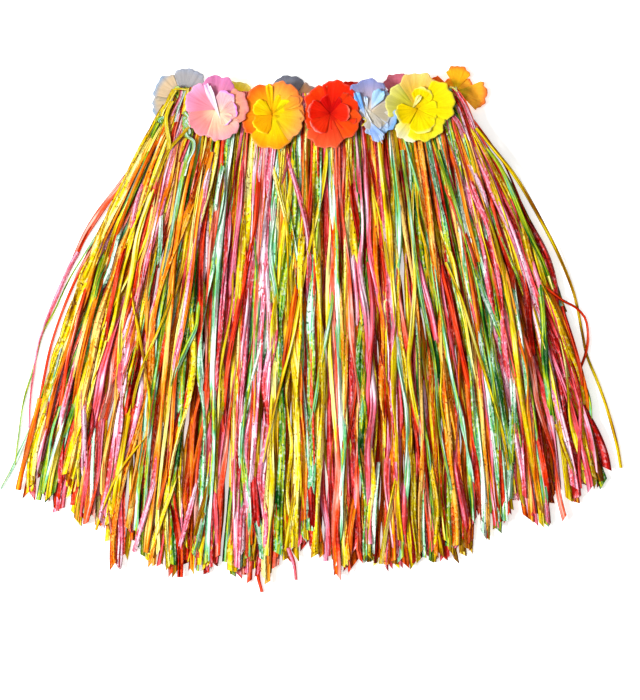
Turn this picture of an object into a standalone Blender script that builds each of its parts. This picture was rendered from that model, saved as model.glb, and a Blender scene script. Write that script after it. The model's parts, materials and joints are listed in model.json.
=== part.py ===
"""A raffia grass skirt with a garland of fabric flowers, lying flat with its front up.

Metres, +Z up. The waist is towards +Y, the hem towards -Y, and the skirt rests on z = 0. The design
coordinates have x = 0 at the middle of the waist and y = 0 on the waistband's middle line at the two
folds. At the end the whole skirt is moved so that its box is centred on the origin.
"""

import math
import random

import bmesh
import bpy
from mathutils import Vector

MM = 0.001
GAP = 0.4 * MM  # between pieces that lie on or beside each other

# Waistband: raffia sewn over elastic tape, a loop pressed flat so that its halves lie on each other.
WAIST_WIDTH = 342 * MM  # fold to fold
BAND_HEIGHT = 24 * MM
BAND_WALL = 6.0 * MM
BAND_SAG = 8 * MM  # how much lower its middle lies than its folds
BAND_STATIONS = 14  # along each half
FOLD_STATIONS = 4

# Fringe: hanks of raffia that fan out from the band's lower edge.
HEM_WIDTH = 730 * MM
FRINGE_LENGTH = 560 * MM  # at the middle
SIDE_RISE = 122 * MM  # how much higher the hem's corners lie than its middle
RISE_POWER = 3.2
HEM_LEAN = 12 * MM  # how much lower the hem's left corner lies than its middle, and its right higher
FAN_BEND = 1.4  # radians of a sine: a hank leaves the waist aslant and then turns down
FAN_START = 1.1  # over 1, so that it leaves more steeply than the sine does
FRONT_HANKS = 16
BACK_HANKS = 15
HEM_GAP = 5.0 * MM  # between neighbouring hanks at the hem
RAGGED = 0.035  # how far a hank's corners stray from the hem, as a share of its length
SEED = 7

# The fringe's two layers: height of each hank's underside and its thickness, down its length.
# (share of the length, underside of the back layer in mm, thickness of a layer in mm)
LAYERS = (
    (0.00, 6.4, 5.6),
    (0.09, 6.4, 6.4),
    (0.21, 0.0, 7.2),
    (0.36, 0.0, 7.0),
    (0.52, 0.0, 6.4),
    (0.68, 0.0, 5.8),
    (0.84, 0.0, 5.2),
    (0.95, 0.0, 5.0),
)

# Flowers: an outer and an inner ring of petals, each one cut of polyester cloth.
PETAL_WALL = 1.2 * MM
PETALS = 5
STEPS_PER_PETAL = 6
NOTCH = 0.30  # how deep the cuts between petals go, as a share of the radius
NOTCH_POWER = 5
OUTER_RADIUS = 37 * MM
INNER_SHARE = 0.58  # the inner ring's radius as a share of the outer's
FLAT_RADIUS = 40 * MM  # a flower that is pressed flat under the skirt spreads wider
FLAT_LEVEL = 3.0 * MM  # from one level of the pressed flowers to the next
CUP_POWER = 1.4
CUP_HEIGHT = 11.0 * MM
CUP_LEAN = 8.0 * MM  # right petals stand higher than left ones, so that flowers lie like shingles
INNER_CUP = 7.0 * MM

# Front flowers: (name, x and y of the centre in mm, turn in degrees, width share, colour)
FRONT_FLOWERS = (
    ("pink", -122, -16, 15, 1.02, "petal_pink"),
    ("orange", -54, -19, -14, 1.02, "petal_orange"),
    ("red", 14, -19, -4, 1.02, "petal_red"),
    ("blue", 65, -17, 30, 0.78, "petal_blue"),
    ("yellow", 119, -15, 13, 1.06, "petal_yellow"),
)
# Back flowers: (name, x and y of the centre in mm, turn in degrees, level, colour)
BACK_FLOWERS = (
    ("back_white", -160, -4, 20, 0, "petal_blue"),
    ("back_gold", -107, -17, 48, 1, "petal_yellow"),
    ("back_grey", -34, -13, 90, 0, "petal_blue"),
    ("back_red", 33, -14, 60, 1, "petal_red"),
    ("back_mauve", 99, -6, 110, 0, "petal_pink"),
    ("back_amber", 164, 8, -2, 1, "petal_orange"),
)
THROAT_RADIUS = 6 * MM  # the narrow end of a flower, where it is sewn to the band

# Finishes: slot: (red, green, blue, roughness)
FINISHES = {
    "raffia_yellow": (0.86, 0.66, 0.03, 0.3),
    "raffia_green": (0.16, 0.52, 0.24, 0.3),
    "raffia_pink": (0.86, 0.20, 0.36, 0.3),
    "raffia_red": (0.72, 0.06, 0.05, 0.3),
    "raffia_orange": (0.88, 0.26, 0.03, 0.3),
    "petal_pink": (0.90, 0.48, 0.55, 0.7),
    "petal_orange": (0.95, 0.42, 0.03, 0.7),
    "petal_red": (0.85, 0.05, 0.02, 0.7),
    "petal_blue": (0.55, 0.66, 0.85, 0.7),
    "petal_yellow": (0.93, 0.76, 0.05, 0.7),
}
HANK_FINISHES = ("raffia_yellow", "raffia_pink", "raffia_green", "raffia_red", "raffia_orange")


def clear_scene():
    for old in list(bpy.data.objects):
        bpy.data.objects.remove(old, do_unlink=True)


def finish(slot):
    """The material of a slot, made the first time it is asked for."""
    material = bpy.data.materials.get(slot)
    if material is None:
        red, green, blue, roughness = FINISHES[slot]
        material = bpy.data.materials.new(slot)
        material.use_nodes = True
        shader = material.node_tree.nodes["Principled BSDF"]
        shader.inputs["Base Color"].default_value = (red, green, blue, 1)
        shader.inputs["Roughness"].default_value = roughness
        shader.inputs["Metallic"].default_value = 0.0
        material.diffuse_color = (red, green, blue, 1)
    return material


def add_piece(name, mesh_data, slot, parent, location=(0, 0, 0), turn=0.0):
    """Closes a bmesh into an object of the skirt, its faces pointing out."""
    bmesh.ops.recalc_face_normals(mesh_data, faces=mesh_data.faces)
    mesh = bpy.data.meshes.new(name)
    mesh_data.to_mesh(mesh)
    mesh_data.free()
    mesh.materials.append(finish(slot))
    piece = bpy.data.objects.new(name, mesh)
    bpy.context.scene.collection.objects.link(piece)
    piece.parent = parent
    piece.location = location
    piece.rotation_euler.z = turn
    return piece


def loft(rings, closed_path=False):
    """A skin over rings of equally many points, with caps unless the path closes on itself."""
    made = bmesh.new()
    loops = [[made.verts.new(point) for point in ring] for ring in rings]
    count = len(loops[0])
    following = loops[1:] + loops[:1] if closed_path else loops[1:]
    for near, far in zip(loops, following, strict=False):
        for i in range(count):
            j = (i + 1) % count
            made.faces.new((near[i], near[j], far[j], far[i]))
    if not closed_path:
        made.faces.new(loops[0])
        made.faces.new(reversed(loops[-1]))
    return made


# --- Waistband -----------------------------------------------------------------------------------


def band_line(x):
    """The y of the band's middle line: an arc that sags between the folds."""
    share = x / (WAIST_WIDTH / 2)
    return -BAND_SAG * (1 - share * share)


def band_base():
    """The height of the back half's underside, which lies on the pressed flowers."""
    return LAYERS[0][1] * MM


def band_path():
    """(x, height, angle of the outward normal) round the flattened loop, from the left fold."""
    middle = band_base() + BAND_WALL + GAP / 2
    half_run = WAIST_WIDTH / 2 - BAND_WALL
    radius = (BAND_WALL + GAP) / 2  # of the wall's own middle at the folds
    stations = []
    for i in range(BAND_STATIONS + 1):
        stations.append((-half_run + 2 * half_run * i / BAND_STATIONS, middle + radius, math.pi / 2))
    for i in range(1, FOLD_STATIONS):
        angle = math.pi / 2 - math.pi * i / FOLD_STATIONS
        stations.append((half_run + radius * math.cos(angle), middle + radius * math.sin(angle), angle))
    for i in range(BAND_STATIONS + 1):
        stations.append((half_run - 2 * half_run * i / BAND_STATIONS, middle - radius, -math.pi / 2))
    for i in range(1, FOLD_STATIONS):
        angle = -math.pi / 2 - math.pi * i / FOLD_STATIONS
        stations.append((-half_run + radius * math.cos(angle), middle + radius * math.sin(angle), angle))
    return stations


def make_band(parent):
    half_height, half_wall = BAND_HEIGHT / 2, BAND_WALL / 2
    shoulder = half_height - half_wall
    # (place across the band, place out of its wall)
    section = (
        (-half_height, 0),
        (-shoulder, half_wall),
        (shoulder, half_wall),
        (half_height, 0),
        (shoulder, -half_wall),
        (-shoulder, -half_wall),
    )
    rings = []
    for x, height, angle in band_path():
        out_x, out_z = math.cos(angle), math.sin(angle)
        rings.append(
            [
                Vector((x + out * out_x, band_line(x) + across, height + out * out_z))
                for across, out in section
            ]
        )
    add_piece("waistband", loft(rings, closed_path=True), "raffia_yellow", parent)


# --- Fringe --------------------------------------------------------------------------------------


def root(share):
    """Where a strand leaves the band, at this share of the way from the left fold to the right."""
    x = (share - 0.5) * WAIST_WIDTH
    return x, band_line(x) - BAND_HEIGHT / 2 - GAP


def tip(share):
    """Where that strand ends on the hem, which rises towards both corners."""
    x = (share - 0.5) * HEM_WIDTH
    rise = SIDE_RISE * abs(2 * share - 1) ** RISE_POWER + HEM_LEAN * (2 * share - 1)
    return x, root(0.5)[1] - FRINGE_LENGTH + rise


def fan(share, along):
    """The place on that strand at this share of its length."""
    (x0, y0), (x1, y1) = root(share), tip(share)
    swing = math.sin(FAN_BEND * along**FAN_START) / math.sin(FAN_BEND)
    return x0 + (x1 - x0) * swing, y0 + (y1 - y0) * along


def layer_heights(level, under, thick):
    """The underside and top of the back (level 0) or the front (level 1) layer."""
    low = (under + level * thick) * MM + level * GAP
    return low, low + thick * MM


def hank_section(left, right, low, high):
    """A flat-bottomed mound between two points of the fan."""
    (xa, ya), (xb, yb) = left, right
    shoulder = low + 0.6 * (high - low)
    # (share of the way from left to right, height)
    outline = ((0, low), (0, shoulder), (0.25, high), (0.75, high), (1, shoulder), (1, low))
    return [Vector((xa + (xb - xa) * s, ya + (yb - ya) * s, z)) for s, z in outline]


def hank(first, last, level, ends):
    """One hank between two shares of the waist, its two corners cut at their own lengths."""
    rings = []
    width = abs(tip(last)[0] - tip(first)[0])
    for along, under, thick in LAYERS:
        margin = (last - first) * (GAP + (HEM_GAP - GAP) * along**2) / (2 * width)
        left, right = fan(first + margin, along), fan(last - margin, along)
        rings.append(hank_section(left, right, *layer_heights(level, under, thick)))
    _, under, thick = LAYERS[-1]
    left, right = fan(first + margin, ends[0]), fan(last - margin, ends[1])
    rings.append(hank_section(left, right, *layer_heights(level, under, 0.8 * thick)))
    return loft(rings)


def make_fringe(parent):
    chance = random.Random(SEED)
    for side, level, count in (("back", 0, BACK_HANKS), ("front", 1, FRONT_HANKS)):
        for i in range(count):
            ends = [1 + chance.uniform(-RAGGED, RAGGED) / 2 for _ in range(2)]
            made = hank(i / count, (i + 1) / count, level, ends)
            slot = HANK_FINISHES[(i + level) % len(HANK_FINISHES)]
            add_piece(f"hank_{side}_{i + 1:02d}", made, slot, parent)


# --- Flowers -------------------------------------------------------------------------------------


def lobed(radius, angle):
    """The rim of a ring of petals at this angle from the middle of a petal."""
    return radius * (1 - NOTCH * abs(math.sin(PETALS * angle / 2)) ** NOTCH_POWER)


def petal_ring(radius, shares, turn, height):
    """A ring of petals as one wall. height(x, y, radius from the centre) gives its underside."""
    made = bmesh.new()
    steps = PETALS * STEPS_PER_PETAL
    centre = made.verts.new((0, 0, height(0, 0, 0)))
    inner = None
    for share in shares:
        ring = []
        for i in range(steps):
            angle = 2 * math.pi * i / steps
            r = lobed(radius, angle) * share if share > 0.5 else radius * share
            x, y = r * math.cos(angle + turn), r * math.sin(angle + turn)
            ring.append(made.verts.new((x, y, height(x, y, r))))
        for i in range(steps):
            j = (i + 1) % steps
            if inner is None:
                made.faces.new((centre, ring[i], ring[j]))
            else:
                made.faces.new((inner[i], ring[i], ring[j], inner[j]))
        inner = ring
    sheet = list(made.faces)
    raised = bmesh.ops.extrude_face_region(made, geom=sheet)
    top = [v for v in raised["geom"] if isinstance(v, bmesh.types.BMVert)]
    bmesh.ops.translate(made, verts=top, vec=(0, 0, PETAL_WALL))
    return made


def front_flower(name, x, y, turn, width, slot, parent):
    """An open flower on the band, its petals cupped and its left side low."""
    base = band_base() + 2 * BAND_WALL + 2 * GAP
    outer_radius = OUTER_RADIUS * width
    inner_radius = outer_radius * INNER_SHARE

    def outer(px, _py, r):
        if r == 0:
            return base
        lean = CUP_HEIGHT + CUP_LEAN * px / r
        return base + lean * (r / outer_radius) ** CUP_POWER

    def inner(px, py, r):
        return outer(px, py, r) + PETAL_WALL + GAP + INNER_CUP * (r / inner_radius) ** CUP_POWER

    place = (x * MM, y * MM, 0)
    angle = math.radians(turn)
    made = petal_ring(outer_radius, (0.35, 0.70, 1.0), angle, outer)
    add_piece(f"flower_{name}_outer", made, slot, parent, place)
    made = petal_ring(inner_radius, (0.45, 1.0), angle + math.pi / PETALS, inner)
    add_piece(f"flower_{name}_inner", made, slot, parent, place)


def back_flower(name, x, y, turn, level, slot, parent):
    """A flower pressed flat under the skirt, facing down, its throat sewn to the band above it."""
    floor = level * FLAT_LEVEL
    spread = floor + PETAL_WALL + 0.75 * GAP
    throat = band_base() - GAP - PETAL_WALL

    def outer(_px, _py, r):
        return throat if r <= THROAT_RADIUS else spread

    def inner(_px, _py, _r):
        return floor

    place = (x * MM, y * MM, 0)
    angle = math.radians(turn)
    first = THROAT_RADIUS / FLAT_RADIUS
    made = petal_ring(FLAT_RADIUS, (first, 1.5 * first, 0.6, 1.0), angle, outer)
    add_piece(f"flower_{name}_outer", made, slot, parent, place)
    made = petal_ring(FLAT_RADIUS * INNER_SHARE, (0.45, 1.0), angle + math.pi / PETALS, inner)
    add_piece(f"flower_{name}_inner", made, slot, parent, place)


def centre_on_origin(parent):
    """Moves the skirt so that its box is centred on x and y, with its underside on z = 0."""
    bpy.context.view_layer.update()
    corners = [
        piece.matrix_world @ Vector(corner) for piece in parent.children for corner in piece.bound_box
    ]
    low = [min(c[k] for c in corners) for k in range(3)]
    high = [max(c[k] for c in corners) for k in range(3)]
    parent.location = (-(low[0] + high[0]) / 2, -(low[1] + high[1]) / 2, -low[2])


def main():
    clear_scene()
    skirt = bpy.data.objects.new("skirt", None)
    bpy.context.scene.collection.objects.link(skirt)
    make_band(skirt)
    make_fringe(skirt)
    for row in FRONT_FLOWERS:
        front_flower(*row, skirt)
    for row in BACK_FLOWERS:
        back_flower(*row, skirt)
    centre_on_origin(skirt)


main()
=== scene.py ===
import json
import math
import random

import bpy
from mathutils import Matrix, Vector


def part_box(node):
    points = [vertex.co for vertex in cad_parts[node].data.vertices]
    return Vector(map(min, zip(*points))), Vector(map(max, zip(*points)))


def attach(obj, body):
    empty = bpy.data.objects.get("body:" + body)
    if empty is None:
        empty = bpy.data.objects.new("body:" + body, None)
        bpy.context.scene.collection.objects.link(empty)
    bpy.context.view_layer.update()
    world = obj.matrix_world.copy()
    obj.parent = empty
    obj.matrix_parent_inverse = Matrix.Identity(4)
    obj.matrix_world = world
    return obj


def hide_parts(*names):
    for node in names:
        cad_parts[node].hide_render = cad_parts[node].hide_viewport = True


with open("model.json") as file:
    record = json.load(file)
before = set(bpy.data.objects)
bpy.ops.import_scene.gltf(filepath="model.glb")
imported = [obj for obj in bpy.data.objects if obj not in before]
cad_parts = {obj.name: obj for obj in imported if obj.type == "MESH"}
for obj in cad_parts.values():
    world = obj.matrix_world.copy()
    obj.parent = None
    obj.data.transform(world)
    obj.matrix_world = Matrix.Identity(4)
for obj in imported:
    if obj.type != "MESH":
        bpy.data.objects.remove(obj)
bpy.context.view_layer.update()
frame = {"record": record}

mm = 0.001


# one node with its settings and links, in a shader tree or a geometry tree; its inputs are listed in order
# or by name, and a node given as an input stands for that node's first output
def addNode(tree, kind, inputs=(), **settings):
    node = tree.nodes.new(kind)
    for name, value in settings.items():
        setattr(node, name, value)
    for socket, value in (inputs if isinstance(inputs, dict) else dict(enumerate(inputs))).items():
        if isinstance(value, bpy.types.Node):
            value = value.outputs[0]
        if isinstance(value, bpy.types.NodeSocket):
            tree.links.new(value, node.inputs[socket])
        else:
            node.inputs[socket].default_value = value
    return node


def linear(hexColour):
    parts = [int(hexColour[i:i + 2], 16) / 255 for i in (0, 2, 4)]
    return [p / 12.92 if p <= 0.04045 else ((p + 0.055) / 1.055) ** 2.4 for p in parts] + [1]


def setRamp(node, stops):
    ramp = node.color_ramp
    while len(ramp.elements) < len(stops):
        ramp.elements.new(0.5)
    for element, (place, hexColour) in zip(ramp.elements, stops):
        element.position = place
        element.color = linear(hexColour)


def newMaterial(name):
    material = bpy.data.materials.new(name)
    material.use_nodes = True
    tree = material.node_tree
    return material, tree, tree.nodes["Principled BSDF"]


view = {
    "mmPerPixel": 1.2,
    "frameWidth": 640,  # pixels
    "frameHeight": 700,
    "waistPixel": (317.5, 98),  # where the middle of the band's two folds lies in the frame
    "distance": 2.6,  # metres above the surface
}
bandLow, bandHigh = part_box("waistband")
bandHeight = 24 * mm
waistMiddle = Vector(((bandLow.x + bandHigh.x) / 2, bandHigh.y - bandHeight / 2, 0))


def makeView():
    scale = view["mmPerPixel"] * mm
    middle = waistMiddle + Vector((
        (view["frameWidth"] / 2 - view["waistPixel"][0]) * scale,
        (view["waistPixel"][1] - view["frameHeight"] / 2) * scale,
        0,
    ))
    data = bpy.data.cameras.new("overhead")
    data.sensor_fit = "HORIZONTAL"
    data.sensor_width = 36
    data.lens = data.sensor_width * view["distance"] / (view["frameWidth"] * scale)
    data.clip_end = 50
    camera = bpy.data.objects.new("overhead", data)
    camera.location = (middle.x, middle.y, view["distance"])
    bpy.context.scene.collection.objects.link(camera)
    bpy.context.scene.camera = camera


studio = {
    "floorSize": 12,  # metres
    "floorColour": "f4f4f2",
    "floorGlow": 0.63,
    "worldColour": "ffffff",
    "worldStrength": 0.25,
    # name: (place, size in metres, watts), each pointed at the skirt's middle
    "lamps": {
        "keyLeft": ((-1.9, -0.1, 1.9), 0.8, 104),
        "overhead": ((-0.9, 0.6, 2.8), 1.4, 17),
        "fillRight": ((2.2, -0.5, 1.9), 2.0, 2),
    },
}


def makeStudio():
    mesh = bpy.data.meshes.new("floor")
    half = studio["floorSize"] / 2
    corners = [(-half, -half, 0), (half, -half, 0), (half, half, 0), (-half, half, 0)]
    mesh.from_pydata(corners, [], [(0, 1, 2, 3)])
    floor = bpy.data.objects.new("floor", mesh)
    floor.location.z = -0.3 * mm
    bpy.context.scene.collection.objects.link(floor)
    # opal acrylic sheet lit from below, as on a light table: matte, nearly white, with faint shadows
    material, _, shader = newMaterial("opalAcrylic")
    shader.inputs["Emission Color"].default_value = linear(studio["floorColour"])
    shader.inputs["Emission Strength"].default_value = studio["floorGlow"]
    shader.inputs["Base Color"].default_value = linear(studio["floorColour"])
    shader.inputs["Roughness"].default_value = 0.95
    mesh.materials.append(material)
    world = bpy.data.worlds.new("softbox")
    world.use_nodes = True
    background = world.node_tree.nodes["Background"]
    background.inputs["Color"].default_value = linear(studio["worldColour"])
    background.inputs["Strength"].default_value = studio["worldStrength"]
    bpy.context.scene.world = world
    for name, (place, size, watts) in studio["lamps"].items():
        data = bpy.data.lights.new(name, "AREA")
        data.shape = "DISK"
        data.size = size
        data.energy = watts
        lamp = bpy.data.objects.new(name, data)
        lamp.location = place
        lamp.rotation_euler = (Vector((0, 0, 0)) - Vector(place)).to_track_quat("-Z", "Y").to_euler()
        bpy.context.scene.collection.objects.link(lamp)
    bpy.context.scene.view_settings.view_transform = "Standard"


makeView()
makeStudio()
print("view and studio ready")

fringe = {
    # at the left and the right fold, radians of a sine: a strand leaves the waist aslant and then turns down
    "bend": (1.22, 1.25),
    "start": (0.92, 0.90),  # powers at the left and right folds: over 1 leaves more steeply than the sine
    "hemWidth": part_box("hank_front_16")[1].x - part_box("hank_front_01")[0].x,
    "length": 560 * mm,  # at the middle
    # share of the hem from its left corner, and how much higher it lies there than at its middle, in mm
    "hemLine": ((0, 104), (0.05, 86), (0.10, 60), (0.147, 48), (0.17, 24), (0.22, 6), (0.285, -8), (0.35, 0),
                (0.44, 0), (0.475, 24), (0.51, 0), (0.68, 2), (0.72, 22), (0.765, 52), (0.80, 50), (0.85, 52),
                (0.885, 46), (0.92, 80), (0.96, 118), (1.0, 132)),
    # share of the hem, and share of the waist that its strands come from: many are tied at the two folds
    "fan": ((0, 0), (0.12, 0.03), (0.25, 0.15), (0.40, 0.36), (0.50, 0.50), (0.60, 0.64), (0.75, 0.85),
            (0.88, 0.97), (1.0, 0.996)),
    "bandSag": 8 * mm,
    "tuck": 7 * mm,  # of each strand, under the band's windings
    "droop": 0.032,  # how far the knots at the left fold hang outside it, as a share of the waist
    "droopFall": 200 * mm,  # how much lower they would hang, a whole waist further out
    # side: strands, stations along each
    "front": (290, 60),
    "back": (190, 44),
    "narrow": 2.8 * mm,
    "usual": 6.6 * mm,
    "wide": 12 * mm,
    "drift": 0.016,  # how far a tip strays sideways, as a share of the hem
    "strays": 0.30,  # of the strands, which cross their neighbours
    "strayDrift": 0.05,
    "tufts": 34,  # that the tips gather in along the hem
    "cornerIn": (0.008, 0.024),  # how far the left and the right corner's tips are drawn in, of the hem
    "gather": 0.45,  # how far a tip is drawn to its tuft
    "fullest": 0.975,  # of the length, that the strands of an average tuft reach
    "uneven": 0.022,  # how much the tufts differ in length
    "startSpread": (0.93, 1.08),  # how much the power differs from strand to strand
    "sway": 3.8 * mm,
    "swayTurns": (0.4, 2.0),  # waves over a strand's length
    "flutter": 1.3 * mm,  # of the shorter waves
    "flutterTurns": (2.5, 5),
    "roll": 0.38,  # radians
    "rootWidth": 0.55,  # share of its width that a strand has at the band
    "swell": 0.16,  # how much the width differs along a strand
    "pinch": (0.6, 0.03),  # how much narrower a strand is where it is pinched, and over what share of it
    "slant": 1.6,  # of the cut end, in half widths
    "crumpledWide": (0.08, 4.2 * mm, 5.6 * mm),  # share of the strands, and half widths, on top of the pile
    "crumpledTones": (0.45, 0.9),
    "crumpledColours": ("pink", "orange", "green", "pink", "yellow"),
    "again": 0.3,  # how likely a colour is, where one of the last two strands has it
    "warm": (1.8, 0.7),  # how likely red and orange are, and the other colours, deep in the pile, where they paint warm shade
    "pressed": (2.2 * mm, 0.17),  # how much lower the strands lie at the band, and over what share of them
    "leavesAt": 116,  # row of the frame where the strands leave the band
    "onTop": 1.2 * mm,  # how far over the pile the topmost strands lie
    "dip": 7,  # mm that their ends lie deeper
    "ragged": 0.028,  # how much the lengths within a tuft differ
    "smooth": 0.30,  # how much the strands that are not crumpled show of the crumple
    "deepTones": (0.06, 0.30),  # deepest tone on the ramp of a dye, and the range over it, low in the pile: deeper there as painted shade
    "tones": (0.14, 0.38),  # the same on the rest of the pile
    "higher": (0.18, 0.28),  # how much both grow from the pile's bottom to its top: lower strands darker, as painted shade
    "shadeToRight": 0.17,  # painted shade: how much deeper the tone is at the right than at the left, as if lit from the left
    "deep": 0.25,  # of the pile's height, below which mostly red and orange strands of deeper tones lie: painted warm shade
    "seed": 11,
}
# share of the length, underside of the back layer and thickness of a layer in mm
layers = ((0.0, 6.4, 5.6), (0.09, 6.4, 6.4), (0.21, 0.0, 7.2), (0.52, 0.0, 6.4), (1.0, 0.0, 4.6))
layerGap = 0.4 * mm

film = {
    "sides": 12,  # corners of the flattened tube's section
    "thickness": 0.07,  # of the film, as a share of a strand's half width
    "crown": 0.50,  # height of the ridge that a strand is folded along, as a share of the half width
    "crownRange": (1.1, -0.1),  # of the crown from strand to strand, and the least: a few are hollow
    "foldDepth": 0.50,  # as a share of the half width
    "foldLength": 70 * mm,
    "crinkleDepth": 0.28 * mm,
    "crinkleLength": 7 * mm,
    "sharp": 0.30,  # radians, past which a crease is a sharp edge
    "rested": 0.6 * mm,  # height below which a strand is pressed flat on the surface
    "curveSteps": 12,  # between two spots of a laid strand
    "laidSwell": 0.12,  # how much its width differs along it
    "laidRoll": 0.25,  # radians
    "spread": 137.0,  # how far apart two strands lie in the noises, for a whole step of tone
    "stripShare": 0.42,  # half the width of a strand's strip of the map, as a share of the strip
    "longest": 0.62,  # metres of strand that the map is long
}


def layerHeights(along, side):
    for (s0, u0, t0), (s1, u1, t1) in zip(layers, layers[1:]):
        if along <= s1:
            break
    part = min(max((along - s0) / (s1 - s0), 0), 1)
    under = (u0 + (u1 - u0) * part) * mm
    thick = (t0 + (t1 - t0) * part) * mm
    low = under + (thick + layerGap if side == "front" else 0)
    return low, low + thick


def pressedBy(along):
    depth, share = fringe["pressed"]
    return depth * max(0, 1 - along / share)


def rootPoint(share):
    half = (bandHigh.x - bandLow.x) / 2
    x = (2 * share - 1) * half
    # the knots outside the left fold hang lower
    sag = fringe["bandSag"] * (1 - (2 * share - 1) ** 2) if share > 0 else -fringe["droopFall"] * share
    return waistMiddle + Vector((x, -sag - bandHeight / 2, 0))


# a value read off a line of (place, value) points
def readOff(line, place):
    for (s0, r0), (s1, r1) in zip(line, line[1:]):
        if place <= s1:
            break
    return r0 + (r1 - r0) * (place - s0) / (s1 - s0)


def tipPoint(share):
    rise = readOff(fringe["hemLine"], share) * mm
    return Vector((
        waistMiddle.x + (share - 0.5) * fringe["hemWidth"],
        rootPoint(0.5).y - fringe["length"] + rise,
        0,
    ))


# the stations of one strand: (place, half width, roll, along in metres, shift of the slanted cut)
def strandStations(side, root, tip, reach, level, halfWidth, chance):
    start, end = rootPoint(root), tipPoint(tip)
    steepLeft, steepRight = fringe["start"]
    startBend = (steepLeft + (steepRight - steepLeft) * root) * chance.uniform(*fringe["startSpread"])
    bendLeft, bendRight = fringe["bend"]
    bend = bendLeft + (bendRight - bendLeft) * root
    waves = []
    for kind in ("sway", "sway", "flutter"):
        waves.append((chance.uniform(0, 2 * math.pi), chance.uniform(*fringe[f"{kind}Turns"]),
                      chance.gauss(0, fringe[kind])))
    rolls = [(chance.uniform(0, 2 * math.pi), chance.uniform(1, 3), chance.gauss(0, fringe["roll"]))
             for _ in range(2)]
    swell = (chance.uniform(0, 2 * math.pi), chance.uniform(1, 3))
    pinch = chance.uniform(0.15, 1.6)  # past the tip on some strands, which then have none
    pinchDepth, pinchLength = fringe["pinch"]
    slant = chance.uniform(-fringe["slant"], fringe["slant"])
    stations, last, travelled = [], None, 0
    count = fringe[side][1]
    for i in range(count):
        t = i / (count - 1)
        along = t * reach
        swing = math.sin(bend * along ** startBend) / math.sin(bend)
        place = Vector((start.x + (end.x - start.x) * swing,
                        start.y + (end.y - start.y) * along + fringe["tuck"] * max(0, 1 - 20 * t), 0))
        for phase, turns, size in waves:
            place.x += size * min(1, 3 * t) * math.sin(phase + 2 * math.pi * turns * t)
        low, high = layerHeights(along, side)
        place.z = low + (high - low) * level
        if side == "front":
            place.z -= pressedBy(along)
        width = halfWidth * (fringe["rootWidth"] + (1 - fringe["rootWidth"]) * min(1, 4 * t))
        width *= 1 + fringe["swell"] * math.sin(swell[0] + 2 * math.pi * swell[1] * t)
        width *= 1 - pinchDepth * math.exp(-((t - pinch) / pinchLength) ** 2)
        roll = sum(size * math.sin(phase + 2 * math.pi * turns * t) for phase, turns, size in rolls)
        if last:
            travelled += (place - last).length
            heading = (place - last).normalized()
        last = place
        shift = heading * slant * width if t == 1 else Vector()
        stations.append((place, width, roll, travelled, shift))
    return stations


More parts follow.
